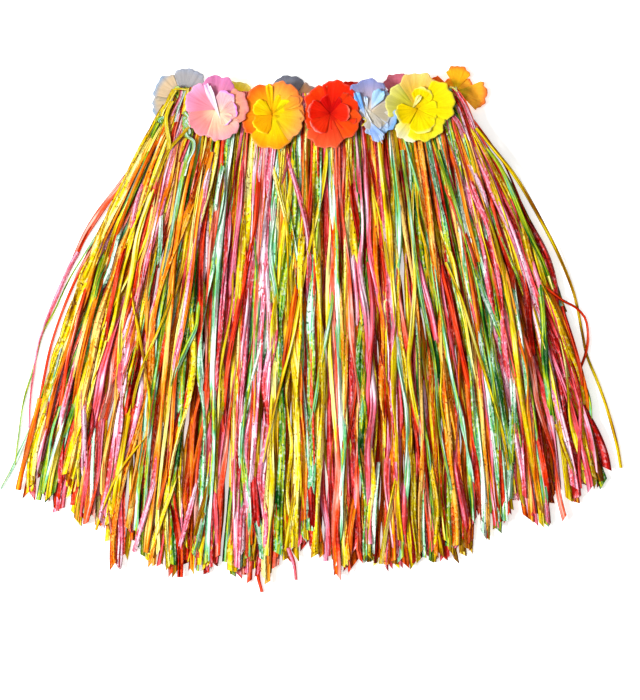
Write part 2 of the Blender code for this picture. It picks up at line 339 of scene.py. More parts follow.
# Film: folds, crinkles and slanted ends are laid on a tube swept along every strand's path.
def filmTree(name, normals):
    tree = bpy.data.node_groups.new(name, "GeometryNodeTree")
    face = tree.interface
    face.new_socket("Paths", in_out="INPUT", socket_type="NodeSocketGeometry")
    for socket in ("Sides", "Thickness", "Crown", "Fold depth", "Fold length", "Crinkle depth",
                   "Crinkle length", "Sharp", "Strands", "Seed", "Material"):
        kind = {"Sides": "Int", "Material": "Material"}.get(socket, "Float")
        face.new_socket(socket, in_out="INPUT", socket_type=f"NodeSocket{kind}")
    face.new_socket("Film", in_out="OUTPUT", socket_type="NodeSocketGeometry")
    given = addNode(tree, "NodeGroupInput").outputs
    halfWidth, along, strand, number, roll, across = (
        addNode(tree, "GeometryNodeInputNamedAttribute", {"Name": column}, data_type="FLOAT")
        for column in ("halfWidth", "along", "strand", "number", "roll", "across"))
    cutShift = addNode(tree, "GeometryNodeInputNamedAttribute", {"Name": "cutShift"},
                       data_type="FLOAT_VECTOR")
    curve = addNode(tree, "GeometryNodeMeshToCurve", {"Mesh": given["Paths"]})
    curve = addNode(tree, "GeometryNodeSetCurveNormal", {"Curve": curve}, mode=normals)
    curve = addNode(tree, "GeometryNodeSetCurveTilt", {"Curve": curve, "Tilt": roll})
    # the section: a circle of radius 1 pressed flat
    ring = addNode(tree, "GeometryNodeCurvePrimitiveCircle", {"Resolution": given["Sides"], "Radius": 1.0},
                   mode="RADIUS")
    place = addNode(tree, "ShaderNodeSeparateXYZ", [addNode(tree, "GeometryNodeInputPosition")]).outputs
    kept = addNode(tree, "GeometryNodeStoreNamedAttribute",
                   {"Geometry": ring, "Name": "across", "Value": place["X"]},
                   data_type="FLOAT", domain="POINT")
    thin = addNode(tree, "ShaderNodeMath", [place["Y"], given["Thickness"]], operation="MULTIPLY")
    flat = addNode(tree, "ShaderNodeCombineXYZ", {"X": place["X"], "Y": thin})
    section = addNode(tree, "GeometryNodeSetPosition", {"Geometry": kept, "Position": flat})
    tube = addNode(tree, "GeometryNodeCurveToMesh",
                   {"Curve": curve, "Profile Curve": section, "Scale": halfWidth, "Fill Caps": True})
    # a strand is folded along a ridge of its own, at its middle or halfway to one of its edges
    seeded = addNode(tree, "ShaderNodeMath", [strand, film["spread"], given["Seed"]],
                     operation="MULTIPLY_ADD")
    picks = addNode(tree, "ShaderNodeTexWhiteNoise", {"W": seeded}, noise_dimensions="1D").outputs["Color"]
    picks = addNode(tree, "ShaderNodeSeparateXYZ", [picks]).outputs
    third = addNode(tree, "ShaderNodeMath", [picks["X"], 3.0], operation="MULTIPLY")
    third = addNode(tree, "ShaderNodeMath", [third], operation="FLOOR")
    third = addNode(tree, "ShaderNodeMath", [third, 1.0], operation="SUBTRACT")
    ridge = addNode(tree, "ShaderNodeMath", [third, 0.5], operation="MULTIPLY")
    aside = addNode(tree, "ShaderNodeMath", [across, ridge], operation="SUBTRACT")
    aside = addNode(tree, "ShaderNodeMath", [aside], operation="ABSOLUTE")
    tent = addNode(tree, "ShaderNodeMath", [1.0, aside], operation="SUBTRACT")
    steep = addNode(tree, "ShaderNodeMath", [picks["Y"], *film["crownRange"]], operation="MULTIPLY_ADD")
    steep = addNode(tree, "ShaderNodeMath", [steep, given["Crown"]], operation="MULTIPLY")
    tent = addNode(tree, "ShaderNodeMath", [tent, steep], operation="MULTIPLY")
    crown = addNode(tree, "ShaderNodeMath", [tent, halfWidth], operation="MULTIPLY")
    # lesser folds run along it and crinkles across it, each from a noise, which spans a quarter
    foldSize = addNode(tree, "ShaderNodeMath", [halfWidth, given["Fold depth"]], operation="MULTIPLY")
    lifts = []
    for scale, length, depth, detail in ((1.7, "Fold length", foldSize, 1.0),
                                         (1.1, "Crinkle length", given["Crinkle depth"], 0.0)):
        wide = addNode(tree, "ShaderNodeMath", [across, scale], operation="MULTIPLY")
        far = addNode(tree, "ShaderNodeMath", [along, given[length]], operation="DIVIDE")
        at = addNode(tree, "ShaderNodeCombineXYZ", [wide, far, seeded])
        wave = addNode(tree, "ShaderNodeTexNoise", {"Vector": at, "Scale": 1.0, "Detail": detail},
                       noise_dimensions="3D")
        wave = addNode(tree, "ShaderNodeMath", [wave, 0.5], operation="SUBTRACT")
        size = addNode(tree, "ShaderNodeMath", [depth, 4.0], operation="MULTIPLY")
        lifts.append(addNode(tree, "ShaderNodeMath", [wave, size], operation="MULTIPLY"))
    lift = addNode(tree, "ShaderNodeMath", lifts, operation="ADD")
    lift = addNode(tree, "ShaderNodeMath", [lift, crown], operation="ADD")
    rise = addNode(tree, "ShaderNodeCombineXYZ", {"Z": lift})
    cut = addNode(tree, "ShaderNodeVectorMath", {0: cutShift, "Scale": across}, operation="SCALE")
    offset = addNode(tree, "ShaderNodeVectorMath", [rise, cut], operation="ADD")
    crumpled = addNode(tree, "GeometryNodeSetPosition", {"Geometry": tube, "Offset": offset})
    # what would dip under the surface is pressed flat on it instead
    spot = addNode(tree, "ShaderNodeSeparateXYZ", [addNode(tree, "GeometryNodeInputPosition")]).outputs
    rested = addNode(tree, "ShaderNodeMath", [spot["Z"], 0.1, film["rested"]], operation="MULTIPLY_ADD")
    rested = addNode(tree, "ShaderNodeMath", [spot["Z"], rested], operation="MAXIMUM")
    restedAt = addNode(tree, "ShaderNodeCombineXYZ", [spot["X"], spot["Y"], rested])
    crumpled = addNode(tree, "GeometryNodeSetPosition", {"Geometry": crumpled, "Position": restedAt})
    # each strand has its own strip of the map, stored as OFBake
    middle = addNode(tree, "ShaderNodeMath", [number, 0.5], operation="ADD")
    strip = addNode(tree, "ShaderNodeMath", [across, film["stripShare"], middle], operation="MULTIPLY_ADD")
    strip = addNode(tree, "ShaderNodeMath", [strip, given["Strands"]], operation="DIVIDE")
    down = addNode(tree, "ShaderNodeMath", [along, film["longest"]], operation="DIVIDE")
    flatAt = addNode(tree, "ShaderNodeCombineXYZ", [down, strip])
    mapped = addNode(tree, "GeometryNodeStoreNamedAttribute",
                     {"Geometry": crumpled, "Name": "OFBake", "Value": flatAt},
                     data_type="FLOAT2", domain="CORNER")
    bend = addNode(tree, "GeometryNodeInputMeshEdgeAngle")
    crease = addNode(tree, "ShaderNodeMath", [bend, given["Sharp"]], operation="GREATER_THAN")
    smooth = addNode(tree, "GeometryNodeSetShadeSmooth",
                     {"Geometry": mapped, "Selection": crease, "Shade Smooth": False}, domain="EDGE")
    real = addNode(tree, "GeometryNodeRealizeInstances", {"Geometry": smooth})
    done = addNode(tree, "GeometryNodeSetMaterial", {"Geometry": real, "Material": given["Material"]})
    addNode(tree, "NodeGroupOutput", {"Film": done})
    return tree


def setInputs(modifier, values):
    for item in modifier.node_group.interface.items_tree:
        if item.item_type == "SOCKET" and item.in_out == "INPUT" and item.name in values:
            modifier[item.identifier] = values[item.name]


# a plain mesh of what an object's modifiers make
def madePlain(name, holder):
    bpy.context.view_layer.update()
    evaluated = holder.evaluated_get(bpy.context.evaluated_depsgraph_get())
    mesh = bpy.data.meshes.new_from_object(evaluated)
    mesh.name = name
    piece = bpy.data.objects.new(name, mesh)
    bpy.context.scene.collection.objects.link(piece)
    bpy.data.objects.remove(holder)
    return piece


def pathMesh(name, strands):
    places, edges = [], []
    columns = {key: [] for key in ("halfWidth", "roll", "along", "strand", "number", "crinkle", "cutShift")}
    for number, (stations, tone, crinkle) in enumerate(strands):
        first = len(places)
        for i, (place, width, roll, along, shift) in enumerate(stations):
            places.append(place)
            if i:
                edges.append((first + i - 1, first + i))
            for key, value in (("halfWidth", width), ("roll", roll), ("along", along), ("strand", tone),
                               ("number", number), ("crinkle", crinkle)):
                columns[key].append(value)
            columns["cutShift"].extend(shift)
    mesh = bpy.data.meshes.new(name)
    mesh.from_pydata(places, edges, [])
    for key, values in columns.items():
        vector = key == "cutShift"
        layer = mesh.attributes.new(key, "FLOAT_VECTOR" if vector else "FLOAT", "POINT")
        layer.data.foreach_set("vector" if vector else "value", values)
    holder = bpy.data.objects.new(name, mesh)
    bpy.context.scene.collection.objects.link(holder)
    return holder


dyeing = {
    # noises: scale across a strand, length along it, shift between the noises, and detail
    "noises": {
        "drift": (0.15, 64 * mm, 3.0, 1.0),
        "doubled": (2.1, 46 * mm, 17.0, 1.0),
        "crease": (4.2, 44 * mm, 23.0, 1.0),
        "patch": (1.5, 5 * mm, 29.0, 2.0),
        "pit": (2.0, 3.6 * mm, 37.0, 1.0),
        "gloss": (1.5, 12 * mm, 41.0, 2.0),
    },
    "spread": 211.0,  # how far apart two strands lie in the noises, for a whole step of tone
    "range": 1.5,  # how far the tone drifts, for a whole step of a noise
    "sides": (97.0, 0.22),  # how often the paler side changes among strands, and how much paler it is: partly painted highlight and shade
    "creaseShading": (2.0, 0.08),  # contrast of the painted shade along the creases, and how dark the darkest is
    "edges": (0.62, 2.4),  # where the painted shade at a strand's edges begins, and how steeply; partly film doubled there
    "paintedGlints": (0.53, 7.0, 0.6),  # painted glints: where one begins in its noise, how steeply, and how pale it gets
    "faint": (1.2, 0.25),  # how much paler a glint is on a pale dye, and how pale on the deepest
    "pitShades": (0.37, 14.0, 0.9),  # painted shade in pits: where one begins in its noise, how steeply, and how dark it gets
    "rough": (0.24, 0.12),  # range of the roughness, and the least
    "specular": 0.06,
    "bump": 0.8 * mm,
    "bumps": (0.9, 0.12),  # how much patches and pits stand out, more on crumpled strands, and the least
    "creases": 1.3,  # how much the creases stand out
}


# Extruded polypropylene raffia film, dyed in the melt and crumpled: glossy, deeper in colour where it is
# doubled. Painted light and shade in its colour: a paler side, dark creases and edges, glints and dark pits.
def raffiaMaterial(name, stops):
    material, tree, shader = newMaterial(name)
    deepest, palest = linear(stops[0][1]), linear(stops[-1][1])
    across, along, strand, crinkle = (
        addNode(tree, "ShaderNodeAttribute", attribute_name=column).outputs["Fac"]
        for column in ("across", "along", "strand", "crinkle"))
    noises = {}
    for noise, (scale, length, shift, detail) in dyeing["noises"].items():
        wide = addNode(tree, "ShaderNodeMath", [across, scale], operation="MULTIPLY")
        far = addNode(tree, "ShaderNodeMath", [along, length], operation="DIVIDE")
        own = addNode(tree, "ShaderNodeMath", [strand, dyeing["spread"], shift], operation="MULTIPLY_ADD")
        at = addNode(tree, "ShaderNodeCombineXYZ", [wide, far, own])
        noises[noise] = addNode(tree, "ShaderNodeTexNoise", {"Vector": at, "Scale": 1.0, "Detail": detail})
    # the dye drifts along a strand; one side is paler, partly film folded double and partly painted highlight
    # and shade
    often, much = dyeing["sides"]
    doubledAndLitSide = addNode(tree, "ShaderNodeMath", [strand, often], operation="MULTIPLY")
    doubledAndLitSide = addNode(tree, "ShaderNodeMath", [doubledAndLitSide], operation="SINE")
    doubledAndLitSide = addNode(tree, "ShaderNodeMath", [doubledAndLitSide, much], operation="MULTIPLY")
    doubledAndLitSide = addNode(tree, "ShaderNodeMath", [across, doubledAndLitSide], operation="MULTIPLY")
    tone = addNode(tree, "ShaderNodeMath", [strand, doubledAndLitSide], operation="ADD")
    for noise in ("drift", "doubled"):
        wave = addNode(tree, "ShaderNodeMath", [noises[noise], 0.5], operation="SUBTRACT")
        tone = addNode(tree, "ShaderNodeMath", [wave, dyeing["range"], tone], operation="MULTIPLY_ADD")
    ramp = addNode(tree, "ShaderNodeValToRGB", {"Fac": tone})
    setRamp(ramp, stops)
    # painted shade: dark streaks along the creases multiply the dye
    creaseShade = addNode(tree, "ShaderNodeMath", [noises["crease"], *dyeing["creaseShading"]],
                     operation="MULTIPLY_ADD", use_clamp=True)
    grey = addNode(tree, "ShaderNodeCombineColor", [creaseShade, creaseShade, creaseShade])
    dyeWithPaintedShade = addNode(tree, "ShaderNodeMix", {0: 1.0, 6: ramp, 7: grey}, data_type="RGBA",
                   blend_type="MULTIPLY").outputs[2]
    # painted shade at a strand's edges, towards the dye's deepest colour, partly for film rolled double there
    begins, steep = dyeing["edges"]
    edgeShade = addNode(tree, "ShaderNodeMath", [across], operation="ABSOLUTE")
    edgeShade = addNode(tree, "ShaderNodeMath", [edgeShade, begins], operation="SUBTRACT")
    edgeShade = addNode(tree, "ShaderNodeMath", [edgeShade, steep], operation="MULTIPLY", use_clamp=True)
    dyeWithPaintedShade = addNode(tree, "ShaderNodeMix", {0: edgeShade, 6: dyeWithPaintedShade, 7: deepest}, data_type="RGBA",
                   blend_type="MULTIPLY").outputs[2]
    # crumpled film: painted glints as pale patches, fainter on deep dyes, and painted shade in small pits
    begins, steep, most = dyeing["paintedGlints"]
    glint = addNode(tree, "ShaderNodeMath", [noises["patch"], begins], operation="SUBTRACT")
    glint = addNode(tree, "ShaderNodeMath", [glint, steep], operation="MULTIPLY", use_clamp=True)
    glint = addNode(tree, "ShaderNodeMath", [glint, crinkle], operation="MULTIPLY")
    light = addNode(tree, "ShaderNodeMath", [tone, *dyeing["faint"]], operation="MULTIPLY_ADD",
                    use_clamp=True)
    glint = addNode(tree, "ShaderNodeMath", [glint, light], operation="MULTIPLY")
    glint = addNode(tree, "ShaderNodeMath", [glint, most], operation="MULTIPLY")
    begins, steep, most = dyeing["pitShades"]
    pitShade = addNode(tree, "ShaderNodeMath", [begins, noises["pit"]], operation="SUBTRACT")
    pitShade = addNode(tree, "ShaderNodeMath", [pitShade, steep], operation="MULTIPLY", use_clamp=True)
    pitShade = addNode(tree, "ShaderNodeMath", [pitShade, crinkle], operation="MULTIPLY")
    pitShade = addNode(tree, "ShaderNodeMath", [pitShade, most], operation="MULTIPLY")
    withPaintedGlints = addNode(tree, "ShaderNodeMix", {0: glint, 6: dyeWithPaintedShade, 7: palest}, data_type="RGBA").outputs[2]
    withPaintedPitShade = addNode(tree, "ShaderNodeMix", {0: pitShade, 6: withPaintedGlints, 7: deepest}, data_type="RGBA",
                     blend_type="MULTIPLY").outputs[2]
    tree.links.new(withPaintedPitShade, shader.inputs["Base Color"])
    rough = addNode(tree, "ShaderNodeMath", [noises["gloss"], *dyeing["rough"]], operation="MULTIPLY_ADD")
    tree.links.new(rough.outputs[0], shader.inputs["Roughness"])
    shader.inputs["IOR"].default_value = 1.49
    shader.inputs["Specular IOR Level"].default_value = dyeing["specular"]
    bumps = addNode(tree, "ShaderNodeMath", [noises["patch"], noises["pit"]], operation="ADD")
    sized = addNode(tree, "ShaderNodeMath", [crinkle, *dyeing["bumps"]], operation="MULTIPLY_ADD")
    bumps = addNode(tree, "ShaderNodeMath", [bumps, sized], operation="MULTIPLY")
    creases = addNode(tree, "ShaderNodeMath", [noises["crease"], dyeing["creases"]], operation="MULTIPLY")
    height = addNode(tree, "ShaderNodeMath", [bumps, creases], operation="ADD")
    bump = addNode(tree, "ShaderNodeBump", {"Strength": 1.0, "Distance": dyeing["bump"], "Height": height})
    tree.links.new(bump.outputs[0], shader.inputs["Normal"])
    return material


# share of the strands at the left and at the right fold, share of them that are crumpled, and dye stops
# from deep to pale
dyes = {
    "yellow": ((0.33, 0.350), 0.28, ((0.0, "8c4c00"), (0.12, "a47800"), (0.30, "cc9c00"), (0.48, "e4c400"),
                                     (0.76, "f4e008"), (1.0, "fff8a0"))),
    "orange": ((0.21, 0.21), 0.24, ((0.0, "902000"), (0.28, "d44c00"), (0.56, "ec7c00"), (0.80, "f4a818"),
                                    (1.0, "fcd070"))),
    "red": ((0.15, 0.145), 0.26, ((0.0, "780400"), (0.20, "b81400"), (0.44, "e43404"), (0.68, "ec5428"),
                                  (0.90, "f47c68"), (1.0, "fcb4a4"))),
    "pink": ((0.115, 0.165), 0.44, ((0.0, "a01008"), (0.18, "cc2820"), (0.40, "ec4c4c"), (0.64, "f07490"),
                                    (0.86, "f8a0c0"), (1.0, "fce0ec"))),
    "green": ((0.175, 0.12), 0.46, ((0.0, "0c4c14"), (0.16, "308018"), (0.34, "94a808"), (0.52, "c8d420"),
                                    (0.64, "48b464"), (0.80, "90d4ac"), (1.0, "f0fcf0"))),
}
dyeMaterials = {}


def dyeMaterial(colour):
    if colour not in dyeMaterials:
        dyeMaterials[colour] = raffiaMaterial(f"raffiaFilm_{colour}", dyes[colour][2])
    return dyeMaterials[colour]


def filmPiece(name, colour, strands, tree, **changes):
    holder = pathMesh(name, strands)
    modifier = holder.modifiers.new("film", "NODES")
    modifier.node_group = tree
    values = {**film, **changes}
    setInputs(modifier, {
        "Sides": values["sides"], "Thickness": values["thickness"], "Crown": values["crown"],
        "Fold depth": values["foldDepth"], "Fold length": values["foldLength"],
        "Crinkle depth": values["crinkleDepth"], "Crinkle length": values["crinkleLength"],
        "Sharp": values["sharp"], "Strands": float(len(strands)), "Seed": values.get("seed", 0.0),
        "Material": dyeMaterial(colour),
    })
    piece = madePlain(name, holder)
    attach(piece, "root")
    print(name, len(strands), "strands", len(piece.data.polygons), "faces")
    return piece


# where a point shows, in pixels of the frame, at a height in mm
def spot(x, y, height):
    scale = view["mmPerPixel"] * mm * (1 - height * mm / view["distance"])
    camera = bpy.context.scene.camera.location
    return Vector((camera.x + (x - view["frameWidth"] / 2) * scale,
                   camera.y + (view["frameHeight"] / 2 - y) * scale, height * mm))


# the stations of a strand that is laid through given spots, on a Catmull-Rom curve
def laidStations(spots, halfWidth, chance, spacing=7 * mm, taper=1.0):
    points = [spot(*place) for place in spots]
    points = [points[0] * 2 - points[1], *points, points[-1] * 2 - points[-2]]
    dense = []
    for p0, p1, p2, p3 in zip(points, points[1:], points[2:], points[3:]):
        for k in range(film["curveSteps"]):
            u = k / film["curveSteps"]
            dense.append(0.5 * (2 * p1 + (p2 - p0) * u + (2 * p0 - 5 * p1 + 4 * p2 - p3) * u * u
                                + (3 * p1 - p0 - 3 * p2 + p3) * u ** 3))
    dense.append(points[-2])
    reached = [0]
    for a, b in zip(dense, dense[1:]):
        reached.append(reached[-1] + (b - a).length)
    count = max(6, round(reached[-1] / spacing))
    phase, turns = chance.uniform(0, 2 * math.pi), chance.uniform(0.8, 2.2)
    stations, k = [], 0
    for i in range(count + 1):
        t = i / count
        target = t * reached[-1]
        while k < len(dense) - 2 and reached[k + 1] < target:
            k += 1
        part = (target - reached[k]) / max(reached[k + 1] - reached[k], 1e-9)
        place = dense[k].lerp(dense[k + 1], min(part, 1))
        width = halfWidth * (1 + (taper - 1) * t)
        width *= 1 + film["laidSwell"] * math.sin(phase + 2 * math.pi * turns * t)
        stations.append((place, width, film["laidRoll"] * math.sin(phase + turns * t), target, Vector()))
    return stations


# Strands that lie apart from the rest. Each: colour, half width in mm, how much of it is left at its end,
# tone, crumple, and the spots that it passes through.
strays = (
    ("red", 4.4, 0.80, 0.86, 0.2, ((137, 165, 6), (126, 178, 5), (110, 198, 4), (97, 216, 3),
      (84, 237, 2.5), (75, 257, 2))),
    ("pink", 2.8, 0.35, 0.72, 0.6, ((78, 252, 3), (71, 265, 2), (62, 284, 2), (53, 305, 2), (44, 327, 2),
      (38, 345, 2), (34, 370, 2), (30, 400, 2), (29, 428, 2))),
    ("red", 2.0, 0.8, 0.62, 0.0, ((126, 190, 9), (104, 226, 5), (84, 262, 3), (66, 302, 2), (52, 342, 2),
      (44, 378, 2), (38, 414, 3), (35, 450, 4))),
    ("green", 1.3, 0.8, 0.45, 0.0, ((110, 214, 10), (91, 244, 7), (70, 278, 4), (55, 310, 3), (42, 335, 2),
      (33, 370, 2), (24, 400, 2), (18, 440, 2), (15, 465, 2))),
    ("green", 2.4, 0.6, 0.70, 0.3, ((48, 396, 8), (30, 430, 4), (14, 465, 2), (1, 489, 2))),
    ("green", 1.6, 0.8, 0.30, 0.0, ((70, 330, 12), (50, 372, 6), (38, 410, 3), (30, 446, 3), (22, 478, 3))),
    ("yellow", 2.4, 0.7, 0.34, 0.2, ((476, 128, 19), (498, 154, 18), (519, 182, 15), (543, 224, 8),
      (559, 256, 4), (574, 294, 2), (582, 332, 2), (587, 356, 2), (598, 383, 2), (608, 412, 2),
      (617, 445, 2), (621, 468, 2))),
    ("yellow", 2.0, 0.7, 0.22, 0.0, ((500, 172, 14), (530, 222, 8), (550, 262, 4), (565, 320, 3),
      (578, 370, 3), (590, 420, 3), (598, 452, 3))),
    ("red", 1.9, 0.8, 0.36, 0.0, ((540, 284, 14), (562, 300, 9), (575, 307, 5), (585, 318, 3),
      (588, 335, 3), (586, 352, 4), (579, 372, 9))),
    ("yellow", 1.6, 0.9, 0.95, 0.0, ((548, 276, 13), (555, 298, 8), (556, 312, 6), (553, 326, 8))),
    ("pink", 2.2, 0.8, 1.0, 0.9, ((560, 340, 11), (572, 368, 6), (578, 384, 4), (581, 402, 3))),
    ("red", 3.0, 0.7, 0.40, 0.3, ((272, 536, 8), (262, 558, 5), (258, 574, 3), (262, 592, 2))),
    ("pink", 2.6, 0.7, 0.60, 0.6, ((288, 548, 7), (294, 564, 4), (296, 580, 2))),
    ("green", 2.4, 0.9, 0.26, 0.3, ((158, 123, 20), (151, 137, 18), (144, 150, 16), (135, 165, 14),
      (129, 178, 12), (121, 193, 10), (112, 210, 8), (103, 229, 6), (96, 245, 4))),
    ("orange", 1.6, 0.9, 0.36, 0.3, ((166, 124, 19), (160, 138, 17), (153, 151, 16), (145, 166, 14),
      (138, 179, 12), (129, 197, 10), (120, 217, 8), (112, 235, 6))),
    ("yellow", 2.2, 0.9, 0.30, 0.4, ((168, 112, 20), (163, 127, 18), (157, 141, 17), (149, 156, 15),
      (142, 171, 13), (134, 188, 11), (125, 210, 9), (117, 232, 7))),
    ("green", 1.5, 0.9, 0.66, 0.5, ((167, 121, 18), (162, 137, 18), (156, 151, 17), (149, 166, 15),
      (142, 183, 13), (135, 202, 11))),
    ("green", 2.0, 0.9, 0.12, 0.6, ((463, 114, 20), (474, 130, 17), (487, 148, 14), (501, 168, 11),
      (514, 190, 8), (528, 218, 6))),
    ("red", 1.4, 0.9, 0.30, 0.3, ((466, 110, 20), (478, 126, 17), (491, 144, 14), (504, 164, 13),
      (515, 188, 14), (526, 216, 12))),
    # across the fringe
    ("yellow", 2.4, 0.9, 0.50, 0.2, ((330, 128, 20), (322, 190, 17), (306, 262, 17), (294, 330, 16),
      (276, 402, 14), (262, 462, 12))),
    ("green", 2.2, 0.9, 0.62, 0.3, ((402, 150, 20), (410, 212, 17), (420, 290, 17), (434, 360, 15),
      (440, 430, 13), (452, 490, 11))),
    ("orange", 2.4, 0.9, 0.52, 0.2, ((212, 152, 20), (198, 214, 17), (190, 290, 17), (176, 370, 15),
      (170, 450, 12), (158, 510, 11))),
    ("yellow", 1.9, 0.9, 0.20, 0.3, ((486, 146, 18), (494, 170, 16), (507, 196, 14), (524, 229, 11),
      (541, 256, 9), (553, 281, 7), (566, 312, 5))),
    ("green", 2.3, 0.9, 0.12, 0.6, ((478, 262, 16), (487, 310, 16), (492, 350, 16), (500, 390, 15),
      (507, 430, 14), (511, 470, 12))),
    ("yellow", 2.1, 0.9, 0.62, 0.2, ((446, 262, 17), (462, 300, 17), (474, 340, 16), (487, 380, 15),
      (502, 430, 13), (509, 470, 12))),
    ("green", 2.6, 0.9, 0.40, 0.2, ((438, 150, 20), (460, 220, 17), (478, 290, 17), (492, 372, 15),
      (500, 450, 12))),
)

